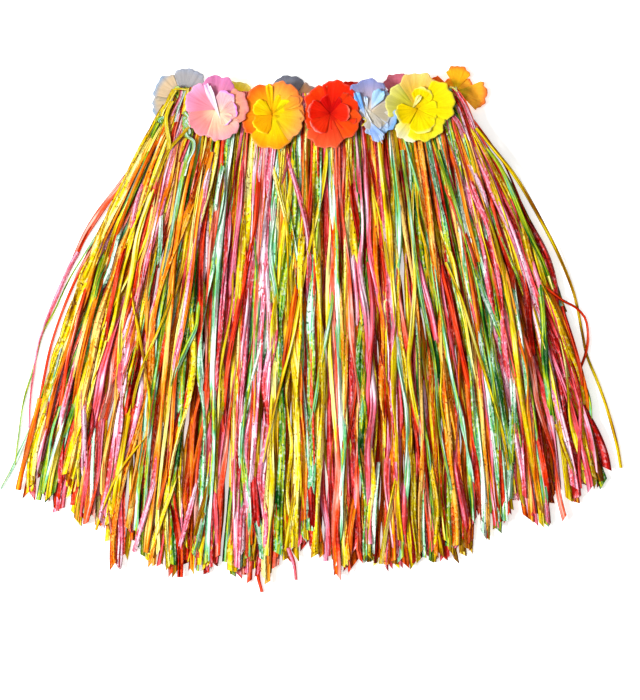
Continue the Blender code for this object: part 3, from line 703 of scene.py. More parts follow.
# Strands that show whole, because they lie on top of the pile. Each: colour, half width in mm, tone,
# crumple, and the spots that it passes through; its ends go down between the other strands.
topStrands = (
    # the left third
    ("yellow", 3.4, 0.66, 0.2, ((158, 174), (148, 203), (138, 236), (133, 267), (128, 295), (122, 323),
      (120, 356), (119, 400))),
    ("pink", 2.6, 0.72, 1.0, ((149, 170), (138, 197), (133, 220), (129, 244))),
    ("green", 3.0, 0.84, 1.0, ((125, 213), (119, 233), (114, 254), (108, 274), (98, 294))),
    ("red", 3.0, 0.40, 0.2, ((131, 226), (120, 262), (114, 290), (108, 320), (104, 350))),
    ("red", 2.6, 0.62, 0.0, ((94, 262), (84, 295), (75, 326), (69, 351), (64, 382), (60, 410))),
    ("green", 4.2, 0.40, 0.2, ((107, 250), (99, 274), (94, 295), (86, 330))),
    ("pink", 4.4, 0.44, 0.2, ((119, 310), (110, 341), (102, 372), (97, 400), (92, 430))),
    ("green", 2.8, 0.64, 0.2, ((199, 296), (196, 326), (187, 346), (176, 372), (171, 400))),
    ("pink", 3.3, 0.74, 1.0, ((215, 146), (207, 177), (202, 208), (197, 238), (189, 285), (184, 320),
      (176, 356), (170, 392))),
    ("green", 2.4, 0.94, 1.0, ((163, 196), (161, 220), (160, 246), (158, 268))),
    ("orange", 2.4, 0.40, 0.2, ((84, 290), (76, 320), (66, 352), (56, 384), (48, 420), (40, 460))),
    ("yellow", 1.9, 0.34, 0.1, ((128, 270), (133, 302), (139, 334), (144, 360), (149, 394), (150, 430))),
    ("yellow", 1.7, 0.44, 0.1, ((176, 270), (170, 300), (158, 331), (146, 358), (137, 384), (130, 420))),
    ("green", 3.4, 0.42, 0.1, ((157, 130), (148, 156), (139, 178), (128, 203), (118, 226), (108, 250))),
    ("orange", 2.4, 0.36, 0.1, ((163, 126), (152, 150), (143, 170), (133, 192), (124, 216), (114, 244),
      (104, 278))),
    ("orange", 3.0, 0.46, 0.2, ((112, 252), (98, 292), (88, 330), (80, 366), (74, 404))),
    ("pink", 3.0, 0.78, 0.8, ((80, 344), (70, 384), (62, 416), (56, 450))),
    ("green", 2.8, 0.88, 1.0, ((70, 318), (60, 358), (52, 392), (45, 434))),
    # the middle
    ("green", 2.6, 0.96, 1.0, ((228, 146), (221, 172), (216, 200), (213, 226))),
    ("pink", 2.7, 0.56, 0.3, ((243, 140), (241, 180), (238, 220), (233, 262), (229, 300))),
    ("red", 3.2, 0.60, 0.1, ((260, 138), (258, 185), (254, 231), (246, 268), (237, 315), (229, 358),
      (223, 410))),
    ("yellow", 2.5, 0.66, 1.0, ((268, 144), (276, 180), (284, 212), (290, 236))),
    ("green", 3.5, 0.86, 0.3, ((277, 186), (274, 222), (271, 256), (276, 290), (279, 320))),
    ("pink", 2.8, 0.72, 0.8, ((284, 140), (292, 172), (303, 210), (308, 241), (309, 271), (307, 306))),
    ("pink", 3.3, 0.84, 0.8, ((266, 242), (267, 278), (269, 315), (269, 358), (267, 398), (264, 440))),
    ("orange", 3.8, 0.34, 0.1, ((299, 270), (292, 315), (286, 352), (280, 396))),
    ("green", 2.2, 0.62, 0.2, ((333, 258), (332, 302), (326, 339), (320, 370), (314, 407), (304, 450))),
    ("red", 4.6, 0.22, 0.2, ((350, 164), (354, 201), (360, 232), (367, 264))),
    ("pink", 2.6, 0.86, 0.4, ((350, 236), (354, 272), (357, 308), (358, 344))),
    ("pink", 2.8, 0.40, 0.1, ((367, 252), (372, 296), (372, 339), (369, 376), (367, 426))),
    ("yellow", 2.7, 0.66, 0.3, ((412, 152), (412, 222), (415, 278), (412, 327), (409, 364), (415, 407),
      (426, 444))),
    ("yellow", 2.0, 0.58, 0.1, ((371, 178), (382, 228), (388, 268), (392, 306))),
    ("pink", 2.3, 0.94, 0.6, ((391, 272), (394, 315), (391, 352), (392, 395), (395, 438))),
    ("pink", 4.0, 0.52, 0.4, ((414, 246), (425, 290), (434, 327), (439, 368))),
    ("red", 2.6, 0.36, 0.1, ((377, 222), (385, 278), (387, 326))),
    # the right third
    ("green", 2.6, 0.36, 0.1, ((466, 128), (496, 160), (512, 194), (528, 232), (541, 259), (555, 293))),
    ("pink", 3.2, 0.46, 1.0, ((463, 158), (475, 196), (488, 226), (495, 259), (500, 291), (503, 328),
      (506, 362), (513, 420))),
    ("pink", 2.6, 0.92, 1.0, ((459, 146), (475, 175), (484, 196), (489, 216))),
    ("green", 2.5, 0.95, 1.0, ((511, 270), (516, 305), (521, 339), (525, 374), (530, 420))),
    ("orange", 2.7, 0.56, 0.1, ((444, 130), (454, 162), (463, 196), (470, 231), (479, 263), (489, 295))),
    ("red", 2.8, 0.54, 0.1, ((441, 176), (458, 217), (470, 249), (479, 279), (492, 308))),
    ("red", 3.5, 0.40, 0.1, ((439, 258), (449, 296), (456, 328), (464, 362), (472, 400))),
    ("yellow", 2.6, 0.82, 0.4, ((439, 226), (452, 259), (458, 291), (465, 323), (470, 353), (478, 396))),
    ("yellow", 2.5, 0.62, 1.0, ((478, 276), (486, 312), (493, 342), (499, 378))),
    ("green", 4.0, 0.34, 0.3, ((536, 262), (542, 305), (544, 339), (546, 374), (552, 422))),
    ("red", 2.3, 0.40, 0.1, ((562, 306), (573, 342), (580, 369), (584, 400))),
    ("red", 4.0, 0.16, 0.3, ((517, 252), (527, 296), (530, 328), (533, 356))),
    # near the hem
    ("orange", 3.2, 0.60, 0.2, ((40, 398), (32, 430), (24, 462), (18, 490))),
    ("pink", 2.6, 0.66, 0.4, ((50, 410), (44, 436), (38, 462), (32, 486))),
    ("green", 2.4, 0.90, 0.4, ((68, 400), (60, 430), (52, 458), (43, 494))),
    ("pink", 3.4, 0.84, 1.0, ((84, 380), (84, 410), (84, 440), (84, 484))),
    ("pink", 3.0, 0.50, 0.4, ((106, 390), (101, 430), (99, 462), (97, 496))),
    ("green", 2.4, 0.92, 1.0, ((94, 420), (93, 450), (92, 480), (91, 514))),
    ("yellow", 3.8, 0.44, 0.2, ((130, 400), (124, 440), (117, 484), (112, 536))),
    ("yellow", 1.5, 0.60, 0.1, ((152, 428), (138, 446), (120, 470), (106, 500), (96, 530))),
    ("pink", 3.2, 0.70, 1.0, ((160, 444), (153, 484), (143, 520), (134, 552))),
    ("yellow", 3.0, 0.72, 0.6, ((178, 464), (170, 494), (160, 522), (149, 554))),
    ("pink", 3.0, 0.74, 1.0, ((200, 462), (193, 496), (184, 531), (176, 560))),
    ("yellow", 4.0, 0.16, 0.2, ((214, 462), (207, 494), (198, 528), (190, 562))),
    ("pink", 3.4, 0.60, 0.3, ((214, 470), (215, 500), (217, 530), (218, 556))),
    ("green", 2.6, 0.44, 0.3, ((233, 470), (230, 500), (228, 530), (226, 562))),
    ("pink", 4.4, 0.20, 0.4, ((252, 460), (254, 490), (256, 520), (257, 552))),
    ("yellow", 3.0, 0.44, 0.2, ((300, 456), (295, 490), (290, 522), (286, 554))),
    ("red", 4.0, 0.20, 0.3, ((308, 462), (311, 490), (313, 520), (314, 548))),
    ("orange", 4.4, 0.30, 0.2, ((356, 488), (352, 514), (349, 540), (347, 566))),
    ("green", 2.6, 0.92, 1.0, ((378, 462), (376, 494), (374, 524), (373, 554))),
    ("yellow", 3.0, 0.70, 0.4, ((400, 460), (394, 492), (387, 526), (381, 564))),
    ("pink", 4.0, 0.32, 0.3, ((403, 474), (404, 502), (404, 528), (404, 552))),
    ("yellow", 3.2, 0.60, 1.0, ((430, 462), (435, 492), (437, 522), (434, 562))),
    ("pink", 4.2, 0.34, 0.4, ((453, 450), (459, 482), (465, 512), (469, 536))),
    ("pink", 3.0, 0.66, 1.0, ((511, 412), (517, 444), (523, 476), (530, 514))),
    ("red", 4.2, 0.14, 0.4, ((536, 420), (540, 446), (544, 470), (548, 500))),
    ("yellow", 2.4, 0.36, 0.6, ((556, 424), (563, 446), (571, 466), (580, 488))),
)


def onPile(spots):
    placed = []
    for i, (x, y) in enumerate(spots):
        along = max(0, (y - fringe["leavesAt"]) * view["mmPerPixel"] * mm / fringe["length"])
        height = layerHeights(along, "front")[1] - pressedBy(along) + fringe["onTop"]
        placed.append((x, y, height / mm - (fringe["dip"] if i in (0, len(spots) - 1) else 0)))
    return placed


def makeFringe(tree):
    chance = random.Random(fringe["seed"])
    pieces = {}
    for side in ("back", "front"):
        groups = {name: [] for name in dyes}
        count = fringe[side][0]
        tufts = sorted((chance.uniform(0, 1), chance.gauss(0, fringe["uneven"]))
                       for _ in range(fringe["tufts"]))
        before = []
        for i in range(count):
            level = chance.random()
            deep = level < fringe["deep"]
            # neighbours differ in colour; low in the pile mostly red and orange strands paint warm shade into
            # the gaps
            weights = []
            for name, ((left, right), _, _) in dyes.items():
                weight = left + (right - left) * i / count
                weight *= fringe["again"] if name in before[-2:] else 1
                weights.append(weight * (fringe["warm"][name not in ("red", "orange")] if deep else 1))
            colour = chance.choices(list(dyes), weights)[0]
            before.append(colour)
            share = (i + chance.uniform(0, 1)) / count
            root = readOff(fringe["fan"], share) - fringe["droop"] * max(0, 1 - 14 * share)
            crosses = chance.random() < fringe["strays"]
            tip = share + chance.gauss(0, fringe["strayDrift" if crosses else "drift"])
            tuft, longer = min(tufts, key=lambda pair: abs(pair[0] - tip))
            if not crosses:
                tip += (tuft - tip) * fringe["gather"] * chance.random()
            tip = min(max(tip, 0.015), 0.985)
            leftIn, rightIn = fringe["cornerIn"]
            tip += leftIn * max(0, 1 - 4 * tip) - rightIn * max(0, 4 * tip - 3)
            reach = fringe["fullest"] + longer - abs(chance.gauss(0, fringe["ragged"]))
            halfWidth = chance.triangular(fringe["narrow"], fringe["wide"], fringe["usual"]) / 2
            crinkle = 1.0 if chance.random() < dyes[colour][1] else fringe["smooth"]
            # lower in the pile, deeper tones: painted shade
            deepest, spread = fringe["deepTones" if deep else "tones"]
            if not deep:
                deepest += fringe["higher"][0] * level
                spread += fringe["higher"][1] * level
            tone = deepest + spread * chance.random()
            wideShare, narrowest, widest = fringe["crumpledWide"]
            if not deep and chance.random() < wideShare:
                level, halfWidth, crinkle = 0.95, chance.uniform(narrowest, widest), 1.0
                colour = chance.choice(fringe["crumpledColours"])
                tone = chance.uniform(*fringe["crumpledTones"])
            # painted shade: the strands are darker towards the right
            tone -= fringe["shadeToRight"] * (root - 0.52)
            stations = strandStations(side, root, tip, reach, level, halfWidth, chance)
            groups[colour].append((stations, tone, crinkle))
        if side == "front":
            for colour, halfWidth, taper, tone, crinkle, spots in strays:
                stations = laidStations(spots, halfWidth * mm, chance, taper=taper)
                groups[colour].append((stations, tone, crinkle))
            for colour, halfWidth, tone, crinkle, spots in topStrands:
                stations = laidStations(onPile(spots), halfWidth * mm, chance)
                groups[colour].append((stations, tone, crinkle))
        for colour, strands in groups.items():
            name = f"raffia_{colour}_{side}"
            pieces[name] = filmPiece(name, colour, strands, tree, seed=float(len(pieces)))
    return pieces


hankSlots = {row["node"]: row["material_slot"] for row in frame["record"]["subparts"]}
for name, piece in makeFringe(filmTree("raffiaFilm", "Z_UP")).items():
    _, colour, side = name.split("_")
    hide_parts(*[node for node, slot in hankSlots.items()
                         if node.startswith("hank_" + side) and slot == f"raffia_{colour}"])
print("fringe ready")

band = {
    "wall": 6 * mm,  # of each half of the flattened loop
    "gap": 0.4 * mm,
    "under": 6.4 * mm,  # height of the back half's underside
    "coreHeight": 22 * mm,
    "coreWall": 4.2 * mm,
    "coreSides": 16,  # corners of its section
    "corePoints": 72,  # round the loop
    "pitch": 3.1 * mm,  # from one turn of raffia to the next
    "sunk": 0.3 * mm,  # how far a turn's middle lies inside the band's outline
    "halfWidth": (1.5 * mm, 2.9 * mm),
    "lift": 0.3 * mm,  # how far a turn may lie over its place
    "clear": 0.3 * mm,  # of the core, inside the loop
    "jitter": 0.2,  # how unevenly the turns are spaced, in pitches
    "tones": (0.05, 0.95),
    "crumples": (0.2, 0.8, 1.0),
    "tieWidth": 0.62,  # of each half of a tie, as a share of the tie's
    "tieTone": 0.3,  # how much the two halves differ
    "film": {"sides": 8, "crown": 0.10, "foldDepth": 0.16},  # where it isn't as in the fringe
    "stations": 20,  # round each turn
    "lean": 5 * mm,  # how far a turn slants along the band from its top edge to its bottom edge
    "seed": 3,
}
# Colours of the turns near the folds: from and to in mm from the middle of the waist, colours, tones.
endTurns = (
    (-180, -165.5, ("yellow",), (0.45, 0.85)),
    (-165.5, -154.5, ("red", "green", "pink", "green", "red"), (0.05, 0.95)),
    (-154.5, -144, ("yellow",), (0.40, 0.85)),
    (150, 180, ("pink", "yellow", "green", "yellow", "red"), (0.2, 1.0)),
)


# a place on the flattened loop, a distance on from its left fold: x, height and the way out of its wall
def bandAt(distance):
    run = bandHigh.x - bandLow.x - 2 * band["wall"]
    radius = (band["wall"] + band["gap"]) / 2
    middle = band["under"] + band["wall"] + band["gap"] / 2
    arc = math.pi * radius
    distance %= 2 * (run + arc)
    if distance < run:
        x, angle = -run / 2 + distance, math.pi / 2
    elif distance < run + arc:
        angle = math.pi / 2 - (distance - run) / radius
        x = run / 2 + radius * math.cos(angle)
    elif distance < 2 * run + arc:
        x, angle = run / 2 - (distance - run - arc), -math.pi / 2
    else:
        angle = -math.pi / 2 - (distance - 2 * run - arc) / radius
        x = -run / 2 + radius * math.cos(angle)
    return x, middle + radius * math.sin(angle), angle


def bandPoint(distance, across, out):
    x, height, angle = bandAt(distance)
    share = x / ((bandHigh.x - bandLow.x) / 2)
    sag = fringe["bandSag"] * (1 - min(1, share * share))
    return waistMiddle + Vector((x + out * math.cos(angle), across - sag, height + out * math.sin(angle)))


# Knitted elastic: spun rubber cords under a looped polyester face, matte, with a rib every 2 mm.
def elasticMaterial():
    material, tree, shader = newMaterial("knittedElastic")
    rib = addNode(tree, "ShaderNodeAttribute", attribute_name="rib").outputs["Vector"]
    split = addNode(tree, "ShaderNodeSeparateXYZ", [rib]).outputs
    ribs = addNode(tree, "ShaderNodeMath", [split["Y"], 2 * math.pi / (2 * mm)], operation="MULTIPLY")
    ribs = addNode(tree, "ShaderNodeMath", [ribs], operation="SINE")
    loops = addNode(tree, "ShaderNodeTexNoise", {"Vector": rib, "Scale": 1 / (0.9 * mm), "Detail": 1.0})
    ramp = addNode(tree, "ShaderNodeValToRGB", {"Fac": loops})
    setRamp(ramp, ((0.3, "b89a20"), (0.7, "f0d848")))
    tree.links.new(ramp.outputs[0], shader.inputs["Base Color"])
    height = addNode(tree, "ShaderNodeMath", [ribs, 0.5, loops], operation="MULTIPLY_ADD")
    bump = addNode(tree, "ShaderNodeBump", {"Strength": 0.7, "Distance": 0.4 * mm, "Height": height})
    tree.links.new(bump.outputs[0], shader.inputs["Normal"])
    shader.inputs["Roughness"].default_value = 0.85
    return material


def makeElastic():
    run = bandHigh.x - bandLow.x - 2 * band["wall"]
    length = 2 * run + math.pi * (band["wall"] + band["gap"])
    high, thick = band["coreHeight"] / 2, band["coreWall"] / 2
    section, sides = [], band["coreSides"]
    for i in range(sides):
        u = 2 * math.pi * i / sides
        section.append((high * math.copysign(abs(math.cos(u)) ** 0.4, math.cos(u)),
                        thick * math.copysign(abs(math.sin(u)) ** 0.4, math.sin(u))))
    points, ribs, faces = [], [], []
    for i in range(band["corePoints"]):
        for across, out in section:
            points.append(bandPoint(length * i / band["corePoints"], across, out))
            ribs.extend((length * i / band["corePoints"], across, out))
    for i in range(band["corePoints"]):
        for j in range(sides):
            a, b = i * sides, (i + 1) % band["corePoints"] * sides
            faces.append((a + j, a + (j + 1) % sides, b + (j + 1) % sides, b + j))
    mesh = bpy.data.meshes.new("band_elastic")
    mesh.from_pydata(points, [], faces)
    layer = mesh.attributes.new("rib", "FLOAT_VECTOR", "POINT")
    layer.data.foreach_set("vector", ribs)
    mesh.materials.append(elasticMaterial())
    for polygon in mesh.polygons:
        polygon.use_smooth = True
    piece = bpy.data.objects.new("band_elastic", mesh)
    bpy.context.scene.collection.objects.link(piece)
    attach(piece, "root")
    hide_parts("waistband")
    return length


# Strands that are tied over the band at its two folds, laid out as the strays are.
ties = (
    # the left fold
    ("yellow", 2.3, 0.9, 0.62, 0.3, ((177, 88, 21), (172, 95, 22), (168, 102, 21), (163, 110, 19),
      (160, 118, 17))),
    ("yellow", 1.4, 0.9, 0.45, 0.5, ((173, 89, 21), (169, 97, 22), (165, 106, 20), (160, 114, 17),
      (157, 122, 14))),
    ("red", 1.4, 0.9, 0.12, 0.5, ((181, 89, 21), (180, 96, 22), (176, 105, 21), (174, 113, 19))),
    ("pink", 1.2, 0.9, 0.80, 1.0, ((182, 91, 22), (180, 99, 23), (176, 107, 21), (172, 116, 18))),
    ("green", 1.2, 0.9, 0.92, 1.0, ((185, 91, 22), (181, 101, 22), (178, 110, 21), (175, 122, 18))),
    ("red", 1.4, 0.9, 0.28, 0.4, ((185, 96, 21), (183, 104, 21), (180, 114, 20), (176, 126, 18))),
    ("pink", 1.2, 0.9, 0.95, 1.0, ((181, 108, 20), (178, 116, 20), (177, 124, 19))),
    ("yellow", 2.3, 0.9, 0.66, 0.3, ((187, 88, 21), (186, 97, 22), (185, 106, 21), (183, 114, 20))),
    ("yellow", 1.7, 1.0, 0.70, 0.3, ((173, 90, 22), (180, 89, 23), (188, 90, 22))),
    ("yellow", 2.3, 0.9, 0.60, 0.3, ((172, 101, 21), (168, 110, 22), (166, 119, 22), (167, 130, 22),
      (169, 142, 22), (168, 152, 20), (164, 166, 17))),
    ("yellow", 2.1, 0.9, 0.44, 0.4, ((191, 121, 20), (187, 129, 22), (179, 138, 22), (171, 147, 21),
      (165, 157, 20), (159, 172, 18), (154, 186, 16))),
    ("red", 1.9, 0.9, 0.50, 0.1, ((177, 122, 20), (174, 132, 20), (172, 144, 19), (166, 160, 17))),
    ("pink", 1.9, 0.9, 0.10, 0.4, ((190, 136, 19), (187, 144, 20), (184, 152, 19), (180, 162, 18))),
    ("green", 2.5, 0.8, 0.70, 0.4, ((184, 112, 22), (188, 118, 22), (184, 124, 22), (189, 131, 21),
      (186, 137, 20))),
    ("green", 2.4, 0.8, 0.64, 0.4, ((190, 113, 21), (184, 119, 22), (189, 126, 22), (184, 131, 20))),
    ("green", 2.2, 0.9, 0.70, 0.4, ((184, 127, 21), (187, 136, 22), (193, 141, 21), (193, 150, 20),
      (188, 161, 18), (184, 176, 17))),
    ("green", 2.4, 0.8, 0.68, 0.4, ((157, 121, 19), (161, 117, 19), (164, 121, 19), (160, 125, 17),
      (156, 123, 15))),
    ("green", 2.3, 0.8, 0.64, 0.4, ((163, 117, 20), (159, 121, 19), (163, 125, 17), (158, 134, 14))),
    # the right fold
    ("pink", 1.9, 0.9, 0.34, 1.0, ((453, 89, 21), (459, 96, 22), (465, 107, 21), (471, 125, 19),
      (479, 146, 18))),
    ("red", 1.8, 0.9, 0.20, 0.6, ((450, 91, 21), (456, 99, 22), (462, 110, 21), (468, 127, 19),
      (475, 147, 18))),
    ("red", 1.8, 0.9, 0.30, 0.6, ((456, 89, 21), (462, 97, 22), (468, 108, 20), (474, 124, 18),
      (481, 143, 16))),
    ("pink", 1.5, 0.9, 0.70, 0.9, ((458, 93, 21), (464, 103, 21), (470, 116, 20), (476, 132, 18))),
    ("yellow", 1.4, 0.8, 0.85, 1.0, ((446, 90, 21), (450, 87, 23), (455, 89, 23), (458, 93, 21))),
    ("orange", 1.2, 0.8, 0.70, 0.9, ((447, 95, 21), (451, 92, 22), (455, 95, 22), (454, 99, 20))),
    ("green", 1.3, 0.8, 0.14, 0.6, ((450, 100, 21), (455, 104, 22), (452, 109, 22), (457, 113, 21))),
    ("green", 1.2, 0.9, 0.08, 0.5, ((457, 102, 21), (452, 106, 22), (456, 112, 21), (460, 124, 19))),
    ("pink", 1.4, 0.9, 0.60, 0.9, ((446, 108, 20), (452, 116, 21), (458, 125, 20), (464, 138, 18))),
    ("pink", 1.2, 0.9, 0.34, 0.9, ((450, 112, 20), (458, 120, 21), (463, 130, 20), (470, 144, 18))),
    ("green", 1.1, 0.9, 0.70, 0.3, ((465, 108, 20), (470, 119, 19), (478, 133, 16), (489, 149, 12))),
    ("green", 1.4, 0.9, 0.30, 0.2, ((462, 108, 20), (470, 122, 18), (481, 142, 15), (494, 166, 13))),
    # between the red and the blue flower
    ("yellow", 1.2, 0.9, 0.70, 1.0, ((357, 120, 21), (362, 117, 22), (366, 121, 22), (362, 126, 21))),
)


def makeTurns(tree):
    length = makeElastic()
    chance = random.Random(band["seed"])
    groups = {name: [] for name in dyes}
    high, thick = bandHeight / 2, band["wall"] / 2 - band["sunk"]
    count = round(length / band["pitch"])
    before = ""
    for i in range(count):
        at = length * (i + chance.uniform(-band["jitter"], band["jitter"])) / count
        x, _, angle = bandAt(at)
        colours, tones = [name for name in dyes if name != before], band["tones"]
        for first, last, endColours, endTones in endTurns:
            if first * mm <= x < last * mm and angle > -1:
                colours, tones = endColours, endTones
        before = chance.choice(colours)
        lean = band["lean"] * (x / (bandHigh.x - bandLow.x) * 2 + chance.uniform(-0.5, 0.5))
        lean *= 1 if angle > 0 else -1
        halfWidth = chance.uniform(*band["halfWidth"])
        lift = chance.uniform(0, band["lift"])
        stations, last, travelled = [], None, 0
        # a turn goes round the wall's section, a rounded oblong
        for k in range(band["stations"]):
            u = -math.pi / 2 + 2 * math.pi * k / (band["stations"] - 1)
            across = (high + lift * 0.4) * math.copysign(abs(math.cos(u)) ** 0.5, math.cos(u))
            out = math.copysign(abs(math.sin(u)) ** 0.5, math.sin(u))
            out *= (thick + lift) if out > 0 else band["coreWall"] / 2 + band["clear"]
            place = bandPoint(at - lean * across / high, across, out)
            travelled += (place - last).length if last else 0
            last = place
            width = halfWidth * (1 + 0.12 * math.sin(3 * u + i))
            stations.append((place, width, 0.0, travelled, Vector()))
        groups[before].append((stations, chance.uniform(*tones), chance.choice(band["crumples"])))
    # each tie is a strand folded double, of which both halves show
    for colour, halfWidth, taper, tone, crinkle, spots in ties:
        for side in (-0.5, 0.5):
            beside = [(x + side * halfWidth / view["mmPerPixel"], y, height) for x, y, height in spots]
            stations = laidStations(beside, band["tieWidth"] * halfWidth * mm, chance, spacing=3 * mm,
                                    taper=taper)
            groups[colour].append((stations, tone + band["tieTone"] * side, crinkle))
    for colour, strands in groups.items():
        filmPiece(f"band_{colour}", colour, strands, tree, **band["film"])


makeTurns(filmTree("raffiaTurns", "MINIMUM_TWIST"))
print("band ready")

cloth = {
    "rows": 14,  # of faces from a petal's base to its rim
    "columns": 24,
    "thickness": 0.28 * mm,
    "pleats": 6.4,  # pressed ribs from side to side
    "pleatDepth": 0.20 * mm,
    "ruffle": 0.9 * mm,
    "scallop": 0.028,  # of the rim, as a share of the petal's length
    "shingle": 0.25 * mm,  # how much higher a petal's left side lies than its right
    "step": 0.10 * mm,  # from one petal to the next where they are sewn together
    # ring: how much of its width a petal has at its base, where the rim's dye begins as a share of the
    # length, how much paler the heat-cut rim is, partly as a painted highlight, and how far the rim falls
    # back at the petal's sides
    "outer": (0.98, 0.55, 0.05, 0.17),
    "inner": (0.92, 0.88, 0.03, 0.30),
    "pressed": (0.80, 0.80, 0.0, 0.17),
    "seat": 0.7 * mm,  # of an outer ring above the lowest point of its place
    "innerSeat": 1.5 * mm,
    "sink": 2 * mm,  # how much further down the skirt the front flowers' middles lie
    "softFold": 1.5 * mm,  # radius of a petal's sideways fold
    "innerShare": 0.58,  # size of a back flower's inner ring, as a share of its outer one
    "pressedPleat": 0.18 * mm,
    "pressedStep": 0.3,  # of the step, from one petal to the next of a back flower
    "veins": ((0.55, 0.8), (2.2, 0.7)),  # scales of the two vein noises, across and along a petal
    "veinShade": (0.34, 0.62, 0.84, 1.06),  # from and to in the noise, and the shades that they give: painted shade and highlight along the veins
    "seed": 5,
}

# Front flowers. Each petal: ring, direction in degrees, length in mm, half angle, lift and curl of its
# rib in degrees, sideways fold in degrees, dye at the throat, on the blade and at the rim, and for some
# how far off the flower's middle it is sewn, in mm.
flowers = {
    "pink": (
        ("outer", -136, 36, 40, 2, 3, 3, "fcdcb0", "f48e88", "f08c98"),
        ("outer", 147, 38, 36, 3, 3, 3, "f498a4", "f4889c", "f49cc4"),
        ("outer", 82, 41, 34, 3, 3, 5, "dcac9c", "cc7c9c", "c874a8"),
        ("outer", 10, 40, 36, 5, 3, 4, "fcd098", "f4a272", "f48c88"),
        ("outer", -66, 38, 40, 4, 3, 4, "fde8c0", "f9bc9c", "f69ca8"),
        ("inner", 66, 28, 34, 6, 36, 6, "fcdcb4", "f0b4bc", "e48ce8", (5, -4)),
        ("inner", 12, 23, 40, 6, 44, 6, "fcd0a4", "f0a8a4", "dc78e4", (5, -4)),
        ("inner", -42, 18, 38, 6, 40, 6, "fce4c0", "f8c4a8", "ea90ec", (5, -4)),
        ("inner", 112, 47, 8, 6, 4, 24, "fff4f0", "f8e0fa", "f2c8fa", (7, -13)),
    ),
    "orange": (
        ("outer", -162, 38, 38, 2, 3, 1, "ffc800", "fc9808", "f65c10"),
        ("outer", 128, 39, 40, 3, 3, 1, "ffd400", "fca00c", "f45c14"),
        ("outer", 53, 42, 36, 4, 3, 1, "ffe000", "fcb838", "f47830"),
        ("outer", 10, 38, 34, 4, 3, 1, "ffd800", "fcac1c", "f88434"),
        ("outer", -28, 39, 36, 5, 3, 1, "ffd800", "fcb818", "fa9c50"),
        ("outer", -88, 42, 46, 4, 3, 1, "ffdc00", "ffc800", "fb940c"),
        ("inner", -50, 31, 46, 2, 0, 1, "fcac00", "ffe000", "ffd400"),
        ("inner", 10, 29, 46, 2, 0, 1, "fca800", "ffe000", "fec808"),
        ("inner", 60, 26, 26, 2, 0, 1, "fc9c00", "fec400", "fdbc14"),
        ("inner", 97, 37, 9, 3, 2, 14, "f08c00", "f8b800", "ffe420"),
        ("inner", 151, 25, 33, 4, 16, 2, "f09000", "fcc800", "ffe810"),
        ("inner", -135, 27, 38, 4, 16, 2, "f09400", "fca400", "fee410"),
    ),
    "red": (
        ("outer", -165, 32, 40, 2, 3, 1, "c81000", "f03404", "f44408"),
        ("outer", 126, 36, 38, 3, 3, 1, "c81000", "ee2c04", "f43804"),
        ("outer", 70, 41, 34, 4, 4, 2, "bc0800", "e81c04", "ec2404"),
        ("outer", 16, 35, 40, 5, 3, 1, "c41000", "f03004", "f03404"),
        ("outer", -33, 38, 40, 5, 3, 1, "cc1400", "f44808", "f44c0c"),
        ("outer", -102, 42, 38, 4, 4, 2, "d82000", "f0401c", "f65c30"),
        # this petal's deep red, darkest at its throat, is painted shade at the flower's middle
        ("inner", 88, 23, 52, 2, 0, 4, "a80000", "c80400", "e41804"),
        ("inner", -55, 24, 34, 2, 0, 2, "b80800", "e02008", "f03c08"),
        # the pale rims of these curled inner petals are partly painted highlights
        ("inner", -134, 29, 32, 5, 34, 4, "c40c00", "f02c08", "fc9084"),
        ("inner", 169, 28, 34, 5, 34, 4, "b80400", "e81c04", "fa7c6c"),
        ("inner", 4, 24, 38, 5, 28, 4, "b80400", "ec2004", "f86c58"),
    ),
    "blue": (
        ("outer", 103, 39, 42, 2, 3, 3, "ecd8c0", "aca0b8", "7c88bc"),
        ("outer", 36, 31, 40, 0, 2, 1, "e8d4c0", "d4c4bc", "a0a8cc"),
        ("outer", -28, 33, 36, 3, 12, 4, "e8d8c8", "d0c8bc", "7cb0ec"),
        ("outer", -72, 30, 34, 4, 4, 4, "e8dccc", "ccc8c4", "94bcec"),
        ("outer", 196, 14, 60, 2, 4, 4, "e8dccc", "d4ccc0", "c0c4d4"),
        ("outer", 112, 34, 9, 8, 2, 16, "f4f8fc", "6ca4f4", "84bcf8", (-6, -9)),
        ("outer", -58, 34, 15, 6, 2, 14, "f4f8fc", "90b0f4", "a4c0f4", (-7, -7)),
        ("outer", -64, 32, 1.8, 4, 2, 0, "f8fcff", "f4faff", "f4faff", (-14, 15)),
        ("inner", -20, 24, 56, 3, 3, 3, "ccbca0", "b4a890", "b8bcc8"),
        ("inner", -80, 24, 40, 3, 3, 4, "d0c4ac", "bcb4a8", "a8c0e4"),
        ("inner", -64, 32, 1.8, 5, 2, 0, "f4faff", "f4faff", "f0f8ff", (-1, -10)),
        ("inner", 61, 27, 22, 6, 8, 10, "dce0ec", "a8d0f4", "84c0f0", (-1, 2)),
        ("inner", 98, 16, 12, 7, 6, 14, "f4f8fc", "d0e0f4", "98c8f4", (-5, 2)),
    ),
    "yellow": (
        ("outer", 157, 40, 38, 5, 3, 3, "ccac00", "c2ba38", "d4ce70"),
        ("outer", -114, 41, 28, 3, 3, 5, "f4d400", "f8e048", "fcf4bc"),
        ("outer", 90, 43, 42, 3, 4, 4, "e8b400", "ecbc40", "eec46c"),
        ("outer", -64, 40, 44, 4, 3, 3, "f8d000", "fee000", "fee828"),
        ("outer", 21, 45, 40, 5, 3, 4, "f8cc00", "fedc00", "fee410"),
        ("inner", -8, 24, 44, 4, 8, 4, "f4c800", "fee400", "fee810"),
        ("inner", 72, 27, 38, 5, 30, 5, "e8b000", "fcd800", "fdf080"),
        ("inner", -72, 31, 42, 4, 26, 4, "ecb400", "fee000", "fdf080"),
        ("inner", -159, 28, 38, 4, 32, 5, "e4ac00", "fcd000", "fbf080"),
        ("inner", 58, 19, 15, 9, 6, 30, "fae850", "fbec8c", "fcf0a0", (-7, 0)),
    ),
}
